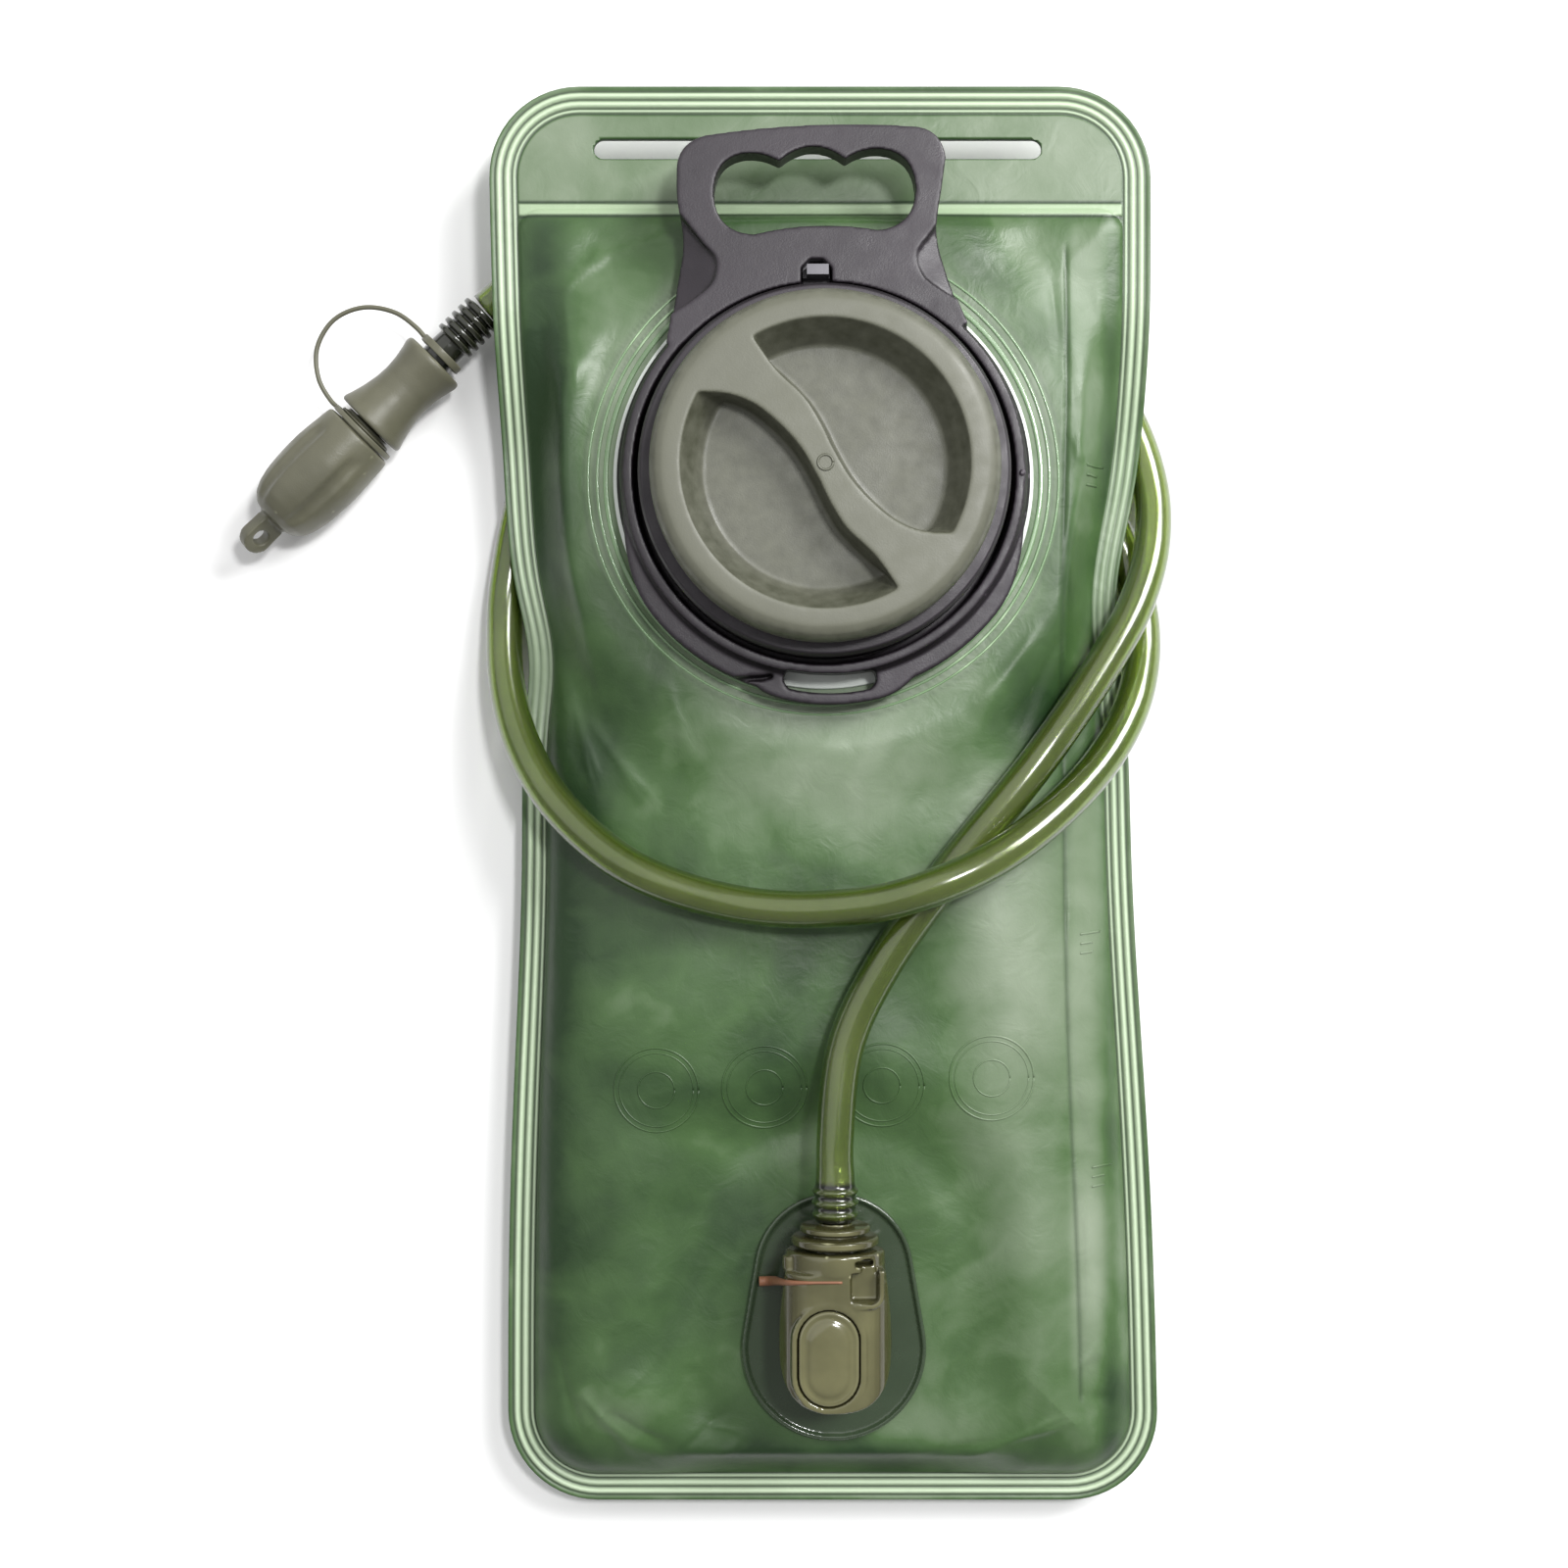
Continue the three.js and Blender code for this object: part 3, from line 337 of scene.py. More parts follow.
class Looks:
    """A material's node tree, with short ways to add what most of them need."""

    def __init__(self, name):
        self.material = bpy.data.materials.new(name)
        self.material.use_nodes = True
        self.tree = self.material.node_tree
        self.shader = self.tree.nodes["Principled BSDF"]
        coordinates = self.tree.nodes.new("ShaderNodeTexCoord")
        self.place = coordinates.outputs["Object"]
        self.normal = coordinates.outputs["Normal"]

    def node(self, kind, output, inputs, **settings):
        """A new node's output. Its inputs are other nodes' outputs, numbers or colours."""
        node = self.tree.nodes.new("ShaderNode" + kind)
        for name, value in settings.items():
            setattr(node, name, value)
        for name, value in inputs.items():
            if isinstance(value, bpy.types.NodeSocket):
                self.tree.links.new(value, node.inputs[name])
            else:
                node.inputs[name].default_value = value
        return node.outputs[output]

    def noise(self, scale, detail=3.0, distortion=0.0):
        inputs = {"Vector": self.place, "Scale": scale, "Detail": detail, "Distortion": distortion}
        return self.node("TexNoise", "Fac", inputs)

    def spread(self, value, low, high, to_low=0.0, to_high=1.0):
        return self.node("MapRange", "Result", {0: value, 1: low, 2: high, 3: to_low, 4: to_high})

    def add(self, first, second):
        return self.node("Math", 0, {0: first, 1: second})

    def absolute(self, value):
        return self.node("Math", 0, {0: value}, operation="ABSOLUTE")

    def mix(self, factor, first, second):
        """A colour between two others, each of them a tuple or another node's output."""
        first, second = ((*c, 1) if isinstance(c, tuple) else c for c in (first, second))
        return self.node("Mix", 2, {0: factor, 6: first, 7: second}, data_type="RGBA")

    def attribute(self, name):
        return self.node("Attribute", "Fac", {}, attribute_name=name)

    def steepness(self):
        """How much a face looks up, in the object's own frame."""
        return self.node("SeparateXYZ", "Z", {0: self.normal})

    def height(self):
        return self.node("SeparateXYZ", "Z", {0: self.place})

    def edges(self):
        """Where the surface stands out, which is where edges get painted highlights."""
        return self.spread(self.node("NewGeometry", "Pointiness", {}), 0.53, 0.7)

    def colour(self, value):
        self.tree.links.new(value, self.shader.inputs["Base Color"])

    def roughness(self, value):
        self.tree.links.new(value, self.shader.inputs["Roughness"])

    def bump(self, *layers):
        """Each layer is a height output, its strength and its distance in metres."""
        below = {}
        for height, strength, distance in layers:
            inputs = {"Height": height, "Strength": strength, "Distance": distance, **below}
            below = {"Normal": self.node("Bump", "Normal", inputs)}
        self.tree.links.new(below["Normal"], self.shader.inputs["Normal"])

    def sockets(self, **values):
        for name, value in values.items():
            self.shader.inputs[name.replace("_", " ")].default_value = value


def linear(r, g, b):
    """An sRGB colour given from 0 to 255, as linear numbers."""
    return tuple((v / 255 / 12.92) if v <= 10 else ((v / 255 + 0.055) / 1.055) ** 2.4 for v in (r, g, b))


def film_material(name, transmission):
    """Green translucent film, from deep green to pale by a tone that carries painted highlight and painted
    shade patches.
    """
    look = Looks(name)
    cloud = look.spread(look.noise(22, 3, 0.8), 0.35, 0.65, -0.16, 0.16)
    speck = look.spread(look.noise(90, 5, 0.5), 0.3, 0.7, -0.07, 0.07)
    # The tone attribute carries painted highlights and painted shade; cloud and speck add random tone.
    tone_and_painted_light = look.add(look.add(look.attribute("tone_and_painted_light"), cloud), speck)
    deep = look.mix(look.spread(tone_and_painted_light, 0.0, 0.42), linear(38, 66, 32), linear(80, 112, 64))
    green = look.mix(look.spread(tone_and_painted_light, 0.38, 1.0), deep, linear(158, 172, 148))
    ribbed = look.mix(look.attribute("rib"), green, linear(222, 242, 208))
    banded = look.mix(look.attribute("band"), ribbed, linear(182, 204, 168))
    look.colour(look.mix(look.attribute("line"), banded, linear(40, 60, 38)))
    look.roughness(look.spread(look.noise(40, 4), 0.3, 0.7, 0.34, 0.5))
    look.bump((look.noise(120, 4, 1.5), 0.24, 0.0008), (look.noise(1400, 2), 0.14, 0.00015))
    look.sockets(Transmission_Weight=transmission, IOR=1.46, Coat_Weight=0.12, Coat_Roughness=0.3)
    return look.material


def plastic(name, base, edge_highlight, roughness, grain, patches=0.25, wall_shade=None, floor=None, **sockets):
    """Moulded plastic or rubber: soft patches, fine grain and, where an edge colour is given, edges painted
    paler as painted highlights.

    If given, its steep walls get a darker colour as painted shade, and what lies below the floor height in
    metres gets painted shade too.
    """
    look = Looks(name)
    base, edge_highlight, wall_shade = (colour and linear(*colour) for colour in (base, edge_highlight, wall_shade))
    dark = tuple(v * (1 - patches) for v in base)
    tone = look.mix(look.spread(look.noise(45, 4), 0.35, 0.65), dark, base)
    # Painted shade on steep walls.
    if wall_shade:
        tone = look.mix(look.spread(look.steepness(), 0.7, 0.98), wall_shade, tone)
    # Painted shade below the floor height, as on the cap's recess floors.
    if floor:
        shade = tuple(v * 0.56 for v in base)
        tone = look.mix(look.spread(look.height(), floor - 0.001, floor + 0.002), shade, tone)
    # Where an edge colour is given, edges that stand out get it as painted highlights; otherwise a fine
    # random grain.
    look.colour(look.mix(look.edges() if edge_highlight else look.noise(300, 2), tone, edge_highlight or base))
    look.roughness(look.spread(look.noise(160, 4), 0.3, 0.7, roughness - 0.08, roughness + 0.1))
    look.bump((look.noise(2600, 2), grain, 0.00012), (look.noise(220, 3), grain * 0.6, 0.0003))
    look.sockets(**sockets)
    return look.material


def hose_material():
    look = Looks("hose_tpu")
    tint = look.mix(look.spread(look.noise(30, 3), 0.4, 0.6), linear(168, 186, 98), linear(150, 172, 76))
    upright = look.absolute(look.steepness())
    shaded = look.mix(look.spread(upright, 0.3, 0.85), linear(88, 116, 28), tint)
    look.colour(look.mix(look.attribute("barb"), shaded, linear(28, 32, 18)))
    look.roughness(look.spread(look.noise(300, 3), 0.3, 0.7, 0.12, 0.2))
    look.bump((look.noise(500, 2), 0.08, 0.0002))
    look.sockets(Transmission_Weight=0.88, IOR=1.42, Coat_Weight=1.0, Coat_Roughness=0.2)
    return look.material


def steel_material():
    look = Looks("steel")
    look.colour(look.mix(look.noise(400, 3), linear(170, 172, 174), linear(205, 206, 208)))
    look.roughness(look.spread(look.noise(900, 2), 0.3, 0.7, 0.22, 0.36))
    look.bump((look.noise(3000, 2), 0.1, 0.0001))
    look.sockets(Metallic=1.0)
    return look.material


def make_materials():
    return {
        "film": film_material("film", 0.3),
        "film_back": film_material("film_back", 0.25),
        "clear": plastic("clear_tpu", (205, 222, 200), (235, 245, 232), 0.25, 0.1, 0.1,
                         Transmission_Weight=0.5, IOR=1.45),
        "pale_film": plastic("pale_film", (122, 152, 112), (180, 204, 168), 0.25, 0.1, 0.15, Coat_Weight=0.3),
        # White for the flange's rim, partly a painted highlight.
        "white": plastic("white_tpu_and_highlight", (226, 232, 226), (245, 248, 245), 0.3, 0.1, 0.06),
        # In the dark, olive and amber plastics, the colour after the patch amount is painted shade on steep
        # walls; olive's 0.0480 is the height below which the cap's recess floors get painted shade.
        "dark": plastic("dark_plastic", (48, 42, 49), (80, 72, 81), 0.42, 0.3, 0.25, (24, 20, 24)),
        "olive": plastic("olive_plastic", (101, 102, 89), None, 0.45, 0.2, 0.12, (50, 52, 36), 0.0480),
        "smoked": plastic("smoked_plastic", (66, 82, 60), (108, 124, 100), 0.2, 0.08, 0.15,
                          Transmission_Weight=0.3, IOR=1.47, Coat_Weight=0.4),
        "amber": plastic("amber_plastic", (124, 122, 86), (182, 180, 142), 0.15, 0.06, 0.42, (74, 72, 44),
                         Transmission_Weight=0.3, IOR=1.49, Coat_Weight=0.4),
        "rubber": plastic("valve_rubber", (98, 97, 80), (128, 127, 106), 0.4, 0.35, 0.26),
        # The barb rubber's pale edge colour paints highlight stripes on the barbs' edges.
        "barb": plastic("barb_rubber", (30, 32, 22), (168, 174, 146), 0.2, 0.1, 0.2, Coat_Weight=0.5),
        "seal": plastic("seal_rubber", (40, 40, 40), (70, 70, 70), 0.6, 0.2),
        "orange": plastic("orange_rubber", (138, 92, 66), (158, 112, 84), 0.5, 0.1),
        "silicone": plastic("silicone", (225, 225, 215), (240, 240, 234), 0.45, 0.1, 0.08),
        "grey": plastic("grey_plastic", (92, 90, 96), (120, 118, 124), 0.45, 0.2, 0.1),
        "hose": hose_material(),
        "steel": steel_material(),
    }


# ---- the bag's shape


def smooth(low, high, value):
    t = np.clip((value - low) / (high - low), 0, 1)
    return t * t * (3 - 2 * t)


def bell(offset, spread):
    return np.exp(-((offset / spread) ** 2))


def dome(t):
    return np.sqrt(1 - (1 - np.clip(t, 0, 1)) ** 2)


def blend_between(a, b, t):
    return a + (b - a) * t


def half_width(x, y):
    """The bag's half width at y, on the side that x is on."""
    total = BAG_HALF_WIDTH - WAIST_DEPTH * bell(y, WAIST_SPREAD)
    for side, (depth, centre, spread) in TUCKS.items():
        total = total - np.where(np.sign(x) == side, depth * bell(y - centre, spread), 0)
    return total


def bag_point(x, y):
    return x * half_width(x, y) / BAG_HALF_WIDTH - LEAN * y, y


def flat_point(x, y):
    centred = x + LEAN * y
    return centred * BAG_HALF_WIDTH / half_width(centred, y), y


def pouch_depth(x, y):
    """Distance inwards from the pouch's edge, on the flat pattern."""
    middle = (POUCH_TOP + POUCH_BOTTOM) / 2
    radius = np.where(y > middle, POUCH_TOP_RADIUS, POUCH_BOTTOM_RADIUS)
    dx = np.abs(x) - (BAG_HALF_WIDTH - SEAM_WIDTH - radius)
    dy = np.abs(y - middle) - ((POUCH_TOP - POUCH_BOTTOM) / 2 - radius)
    outside = np.hypot(np.maximum(dx, 0), np.maximum(dy, 0))
    return radius - outside - np.minimum(np.maximum(dx, dy), 0)


def seam_height(y):
    return 8 + 2.7 * smooth(20, 56, y) + 7.9 * smooth(85, 128, y)


def outside_outlet(x, y):
    along = np.maximum(np.abs(y - OUTLET[1]) - 12.9, 0)
    return np.hypot(x - OUTLET[0], along) - 32.2


def front_top(x, y):
    depth = pouch_depth(*flat_point(x, y))
    near_port = 1 - smooth(0, PORT_BLEND, np.hypot(x - PORT[0], y - PORT[1]) - PORT_SEAT)
    near_outlet = 1 - smooth(0, OUTLET_BLEND, outside_outlet(x, y))
    fill = dome(depth / EDGE_RUN)
    fill = blend_between(fill, smooth(0, 5 + 6 * smooth(0, 40, 139 - y), depth), near_port)
    fill = blend_between(fill, smooth(0, 9, depth), near_outlet)
    level = blend_between(FRONT_LEVEL, PORT[2], near_port)
    level = blend_between(level, OUTLET[2], near_outlet)
    return blend_between(seam_height(y) + GAP / 2 + FILM, level, fill)


def back_bottom(x, y):
    depth = pouch_depth(*flat_point(x, y))
    from_coil = np.hypot(x, np.maximum(y - 57, 0))
    lift = smooth(38, 65, from_coil) * smooth(10, 50, y)
    fill = dome(depth / BACK_RUN) * (1 - lift)
    level = blend_between(seam_height(y) - GAP / 2 - FILM, 0, fill)
    away = ((x + 28) / 34) ** 2 + ((y - 136.5) / 13) ** 2
    return np.where(depth > 0, np.maximum(level, 21.6 - 7 * away), level)


# Creases in the front film: two ends, width and height.
CREASES = [
    ((58, 96), (66, 80), 1.3, 0.9), ((62, 92), (70, 70), 1.2, 0.8), ((67, 96), (60, 76), 1.1, -0.7),
    ((60, 84), (69, 88), 0.9, 0.6), ((60, 79), (68, 74), 0.9, -0.5), ((64, 72), (62, 46), 1.2, -0.7),
    ((67, 66), (65, 40), 1.1, 0.7), ((70, 60), (69, 34), 1.0, 0.6), ((60, 60), (64, 38), 1.3, 0.5),
    ((52, 42), (38, 22), 2.6, 0.7), ((60, 44), (46, 16), 2.2, -0.6), ((-70, 48), (-66, 18), 1.2, 0.8),
    ((-73, 44), (-69, 20), 1.0, -0.6), ((-67, 34), (-58, 4), 1.3, 0.6), ((-63, 52), (-60, 24), 1.6, -0.5),
    ((-60, 20), (-44, -2), 1.8, 0.5), ((-40, 30), (-34, 8), 1.6, 0.4), ((-66, 128), (-56, 137), 1.4, 0.8),
    ((-57, 136.5), (-36, 142), 1.3, 0.8), ((-66, 128), (-63, 100), 2.0, 0.5),
    ((-72, 120), (-68, 84), 1.6, -0.5), ((56, 132), (59, 104), 2.0, -0.5),
    ((68, 128), (71, 100), 1.4, 0.5), ((-26, -166), (-14, -152), 1.3, 0.9),
    ((-36, -164), (-22, -151), 1.2, -0.7), ((-30, -158), (-18, -160), 1.0, 0.6),
    ((-62, -150), (-46, -166), 1.5, 0.8), ((-54, -154), (-38, -165), 1.3, -0.6),
    ((-68, -140), (-63, -160), 1.4, -0.6), ((2, -166), (24, -160), 1.3, 0.8),
    ((12, -167), (40, -163), 1.2, -0.6), ((36, -166), (60, -156), 1.3, 0.7),
    ((64, -150), (72, -152), 1.0, -0.6), ((62, -144), (70, -138), 1.2, 0.6),
    ((65, -100), (67, -140), 1.4, 0.6), ((70, -96), (72, -134), 1.2, -0.5),
    ((61, -56), (65, -92), 1.4, -0.5), ((68, -18), (70, -56), 1.3, 0.5), ((63, -6), (61, -44), 1.6, 0.5),
    ((-70, -10), (-72, -60), 1.6, -0.5), ((-70, -80), (-71, -128), 1.6, 0.5),
]

# Broad relief of the slack film: centre, half sizes, turn in degrees and height.
SWELLS = [
    (6, 12, 36, 12, 6, 0.8), (-46, -10, 16, 22, -20, -1.6), (44, -36, 15, 22, 8, 1.0),
    (20, -48, 14, 20, 25, -1.8), (-38, -52, 22, 14, 12, 0.9), (-20, -84, 24, 9, -6, -1.6),
    (-50, -112, 14, 24, 14, 0.5), (40, -92, 12, 20, -18, -1.5), (50, -118, 9, 24, 6, 1.2),
    (-26, -150, 18, 8, 30, -1.8), (-46, -152, 12, 7, -20, 1.3), (28, -154, 16, 7, -12, 1.2),
    (-62, 110, 8, 26, 8, 1.1), (52, 136, 14, 8, -14, -0.6), (-52, 136, 12, 8, 20, -1.4),
    (63, 20, 6, 14, 0, -1.4),
]

# Painted highlight patches where the amount is above zero and painted shade patches where it is below:
# centre, half sizes, turn in degrees and amount.
PAINTED_LIGHT_PATCHES = [
    (2, 8, 46, 21, 0, 0.55), (-8, 20, 26, 8, 0, 0.12), (-54, 104, 12, 36, 0, 0.24),
    (50, 108, 15, 46, 0, 0.12), (52, 134, 16, 14, 0, 0.05), (47, -34, 19, 26, 12, 0.42),
    (44, -72, 15, 30, -8, 0.28), (54, -112, 10, 30, 8, 0.2), (-38, -34, 18, 20, 0, 0.06),
    (-16, -88, 24, 9, -12, 0.22), (-48, -153, 22, 8, 10, 0.3), (30, -158, 16, 7, 0, 0.2),
    (68, -122, 6, 36, 0, 0.4), (-62, 4, 9, 20, -20, -0.45), (-71, 92, 6, 52, 0, -0.5),
    (57, 20, 11, 12, 40, -0.4), (-70, -64, 7, 90, 0, -0.3), (4, -166, 40, 4, 0, -0.4),
    (14, -52, 14, 20, 20, -0.2),
]


def patch(x, y, cx, cy, rx, ry, turn, amount):
    """A soft elliptical patch."""
    c, s = math.cos(math.radians(turn)), math.sin(math.radians(turn))
    u = (x - cx) * c + (y - cy) * s
    v = (y - cy) * c - (x - cx) * s
    return amount * np.exp(-((u / rx) ** 2) - (v / ry) ** 2)


def crease(x, y, start, end, width, height):
    """A soft ridge along a line, which fades out at its ends."""
    ax, ay = start
    dx, dy = end[0] - ax, end[1] - ay
    length = math.hypot(dx, dy)
    along = ((x - ax) * dx + (y - ay) * dy) / length**2
    across = np.abs((x - ax) * dy - (y - ay) * dx) / length
    bend = across + 0.8 * np.sin(along * 5.1)
    return height * np.exp(-((bend / width) ** 2)) * smooth(-0.15, 0.25, along) * smooth(1.15, 0.75, along)


def undulation(x, y):
    """The slack film's broad and gentle hollows."""
    swells = sum(patch(x, y, *swell) for swell in SWELLS)
    middle = np.sin(x / 5.2 + 1.4 * np.sin(y / 13)) * np.sin(y / 7.7 + 1.2 * np.sin(x / 11))
    fine = np.sin(x / 2.3 + y / 3.9 + 2 * np.sin(y / 17)) * np.sin(y / 3.1 - x / 4.7 + 2 * np.sin(x / 19))
    return swells + 0.16 * middle + 0.035 * fine


def calm(x, y):
    """How free the front film is to move: none at its seams, the port and the outlet."""
    depth = pouch_depth(*flat_point(x, y))
    port = smooth(60, 68, np.hypot(x - PORT[0], y - PORT[1]))
    outlet = smooth(-6, 4, outside_outlet(x, y))
    return smooth(1, 9, depth) * port * outlet


def folded(x, y):
    """Where the hose bends the bag's edge, so that its ribs are pressed flat."""
    return np.where(x < 0, bell(y - 28, 22), bell(y - 58, 34))


def weld_profile(d, x, y):
    """Height of the perimeter weld at a distance d from the outer edge: two ribs between fine lines."""
    ribs = 0.5 * (bell(d - 2.3, 0.6) + bell(d - 4.5, 0.6)) + 0.2 * bell(d - 6.25, 0.35)
    lines = 0.22 * (bell(d - 1.3, 0.24) + bell(d - 3.4, 0.24) + bell(d - 5.6, 0.22) + bell(d - 6.85, 0.2))
    return (ribs - lines) * (1 - 0.75 * folded(x, y)) + 0.2 * bell(d - 0.4, 0.5)


BAND = (147.2, 150.6)


def band_profile(y):
    return 0.3 * smooth(BAND[0], BAND[0] + 0.6, y) * smooth(BAND[1], BAND[1] - 0.6, y)


def strip_line(x, y):
    """Nearness to the line that marks off the strip with the level marks, at the right."""
    line = 60 + 4 * smooth(-20, -160, y) - 1.2 * bell(y - 50, 40)
    return bell(x - line, 0.55) * smooth(-153, -150, y) * smooth(140, 137, y)


def front_surface(x, y):
    """The front film's outer face inside the perimeter weld."""
    free = calm(x, y)
    height = front_top(x, y) + free * undulation(x, y)
    for ridge in CREASES:
        height = height + free * crease(x, y, *ridge)
    puckers = 0.16 * np.sin(x / 2.9 + 2 * np.sin(x / 9)) * smooth(134, 145, y) * smooth(149, 145, y) * free
    return height + puckers - 0.35 * strip_line(x, y) * smooth(1, 5, pouch_depth(*flat_point(x, y)))


# ---- bag sheets


def levels(reach, step, *dense):
    """Evenly spaced numbers from -reach to reach, with closer ones in the dense ranges."""
    even = [v for v in np.arange(-reach, reach + step / 2, step) if not any(a < v < b for a, b, _ in dense)]
    close = [v for a, b, fine in dense for v in np.arange(a, b + fine / 2, fine)]
    return sorted([*even, *close])


ACROSS = levels(BAG_HALF_WIDTH - BAG_CORNER, 0.95)
ALONG = levels(BAG_HALF_LENGTH - BAG_CORNER, 1.05, (146.2, 151.6, 0.3))


def outline(depth):
    """The bag's rounded outline, set in by a depth, with the same number of points at every depth."""
    w = BAG_HALF_WIDTH - depth
    h = BAG_HALF_LENGTH - depth
    r = max(BAG_CORNER - depth, 0)
    across = [min(max(v, r - w), w - r) for v in ACROSS]
    along = [min(max(v, r - h), h - r) for v in ALONG]
    points = arc(w - r, h - r, r, 0, 90, 14)
    points += [(x, h) for x in reversed(across)]
    points += arc(r - w, h - r, r, 90, 180, 14)
    points += [(-w, y) for y in reversed(along)]
    points += arc(r - w, r - h, r, 180, 270, 14)
    points += [(x, -h) for x in across]
    points += arc(w - r, r - h, r, 270, 360, 14)
    points += [(w, y) for y in along]
    return points


def ring_depths():
    """Set-ins of the sheet's rings of points: close together on the weld and along the top band."""
    return [*np.arange(0, 8, 0.3), *np.arange(8, 18.5, 0.9), *np.arange(18.6, 34, 0.42),
            *np.arange(34.5, 83.2, 0.95), BAG_HALF_WIDTH]


def sheet_mesh(name, height_at, material, side):
    """A film sheet. side is 1 for the front, whose details stand up, and -1 for the back."""
    depths = ring_depths()
    rings = np.array([outline(d) for d in depths])
    count = rings.shape[1]
    flat = rings.reshape(-1, 2)
    depth = np.repeat(depths, count)
    x, y = bag_point(flat[:, 0], flat[:, 1])
    z = height_at(x, y)
    weld = smooth(7.6, 6.9, depth)
    z = z + side * weld_profile(depth, x, y) * weld
    z = z + side * band_profile(y) * (1 - weld)
    obj = add_mesh(name, np.column_stack([x, y, z]), ring_faces(len(depths), count), material)
    paint(obj, x, y, depth, weld, side)
    clean(obj, 2e-6)
    solid = obj.modifiers.new("solid", "SOLIDIFY")
    solid.thickness = (FILM + GAP / 2) * MM
    solid.offset = -1
    apply_modifiers(obj)
    return obj


def paint(obj, x, y, depth, weld, side):
    """Masks for the film's colours: pale ribs, fine dark lines and a tone that carries painted highlights and
    painted shade.
    """
    crisp = 1 - 0.7 * folded(x, y)
    rib = weld * crisp * (bell(depth - 2.3, 0.85) + bell(depth - 4.5, 0.85) + 0.8 * bell(depth - 6.25, 0.45))
    line = weld * crisp * sum(bell(depth - at, 0.26) for at in (1.3, 3.4, 5.6, 6.85))
    inner = 1 - weld
    band = smooth(BAND[0] - 0.1, BAND[0] + 0.5, y) * smooth(BAND[1] + 0.1, BAND[1] - 0.5, y) * inner
    line = line + inner * (bell(y - BAND[0] + 0.2, 0.4) + bell(y - BAND[1] - 0.2, 0.4))
    strip = inner * smooth(BAND[1], BAND[1] + 0.5, y) * 0.64
    # Painted highlight and painted shade patches go on the film's tone, over a base of 0.27.
    tone_and_painted_light = 0.27 + sum(patch(x, y, *spot) for spot in PAINTED_LIGHT_PATCHES) * smooth(BAND[0] + 1, BAND[0] - 2, y)
    if side > 0:
        radius = np.hypot(x - PORT[0], y - PORT[1])
        rings = 0.4 * bell(radius - 57.2, 0.5) + 0.3 * bell(radius - 59.8, 0.5)
        line = line + inner * (0.5 * strip_line(x, y) + rings)
        tone_and_painted_light = tone_and_painted_light + 0.3 * bell(radius - 56, 3.6)
        tone_and_painted_light = tone_and_painted_light + 0.17 * smooth(60, 63, x) * smooth(BAND[0], BAND[0] - 4, y) * smooth(-152, -140, y)
        tone_and_painted_light = tone_and_painted_light - 0.3 * bell(x - 72, 3) * smooth(BAND[0], BAND[0] - 10, y)
    tone_and_painted_light = np.maximum(np.maximum(tone_and_painted_light, strip) * inner, (0.4 + 0.2 * folded(x, y)) * weld)
    for name, values in (("rib", rib), ("line", line), ("band", band), ("tone_and_painted_light", tone_and_painted_light)):
        attribute = obj.data.attributes.new(name, "FLOAT", "POINT")
        attribute.data.foreach_set("value", np.clip(values, 0, 1).astype(np.float32))


def cut_hole(sheet, outline_points, low, high):
    combine(sheet, [prism("cutter", outline_points, low, high)], "DIFFERENCE")


def slot_outline():
    turned = racetrack(SLOT["height"], SLOT["width"])
    return [(SLOT["x"] - y, SLOT["y"] + x) for x, y in turned]


def make_front(materials):
    sheet = sheet_mesh("bag_front", front_surface, materials["film"], 1)
    cut_hole(sheet, slot_outline(), -5, 40)
    cut_hole(sheet, arc(PORT[0], PORT[1], 42, 0, 356.4, 99), 15, 60)
    cut_hole(sheet, arc(OUTLET[0], OUTLET[1] - 8, 5.4, 0, 352, 44), 10, 60)
    in_frame(sheet, "film", "bladder", "front_sheet")


def make_back(materials):
    sheet = sheet_mesh("bag_back", back_bottom, materials["film_back"], -1)
    cut_hole(sheet, slot_outline(), -5, 40)
    in_frame(sheet, "film", "bladder", "back_sheet")


def bead(name, plan, material, radius, closed=False):
    """A fine raised bead on the front film, along a line given in plan."""
    points = [(x, y, float(front_surface(x, y)) - 0.1) for x, y in plan]
    if closed:
        points.append(points[0])
    obj = sweep(name, points, lambda i: radius, 8, material)
    places = np.array([v.co for v in obj.data.vertices]) / MM
    paint(obj, places[:, 0], places[:, 1], np.full(len(places), 20.0), np.zeros(len(places)), 1)
    in_frame(obj, "film", "bladder")


def make_marks(materials):
    """Plain embossed rings and level marks, with no lettering."""
    for index, (x, y) in enumerate(((-42.8, -72.7), (-15.7, -72.2), (13.8, -71.7), (41.3, -69.7))):
        bead(f"care_ring_{index + 1}", arc(x, y, 10.6, 0, 354, 59), materials["film"], 0.3, closed=True)
        bead(f"care_inner_{index + 1}", arc(x, y, 9.3, 0, 354, 59), materials["film"], 0.24, closed=True)
        bead(f"care_centre_{index + 1}", arc(x, y, 4.6, 0, 350, 35), materials["film"], 0.26, closed=True)
    for index, (x, y) in enumerate(((65, 84), (64, -34), (67, -93))):
        for row, reach in enumerate((5.5, 3.4, 3.4)):
            level = y - 2.4 * row
            plan = [(x + t, level + 0.1 * t) for t in np.linspace(0, reach, 7)]
            bead(f"level_mark_{index + 1}_{row + 1}", plan, materials["film"], 0.34)


# ---- fill port

PORT_PLACE = Matrix.Translation(PORT)
HANDLE_TURN = Matrix.Rotation(0.035, 4, "Z")


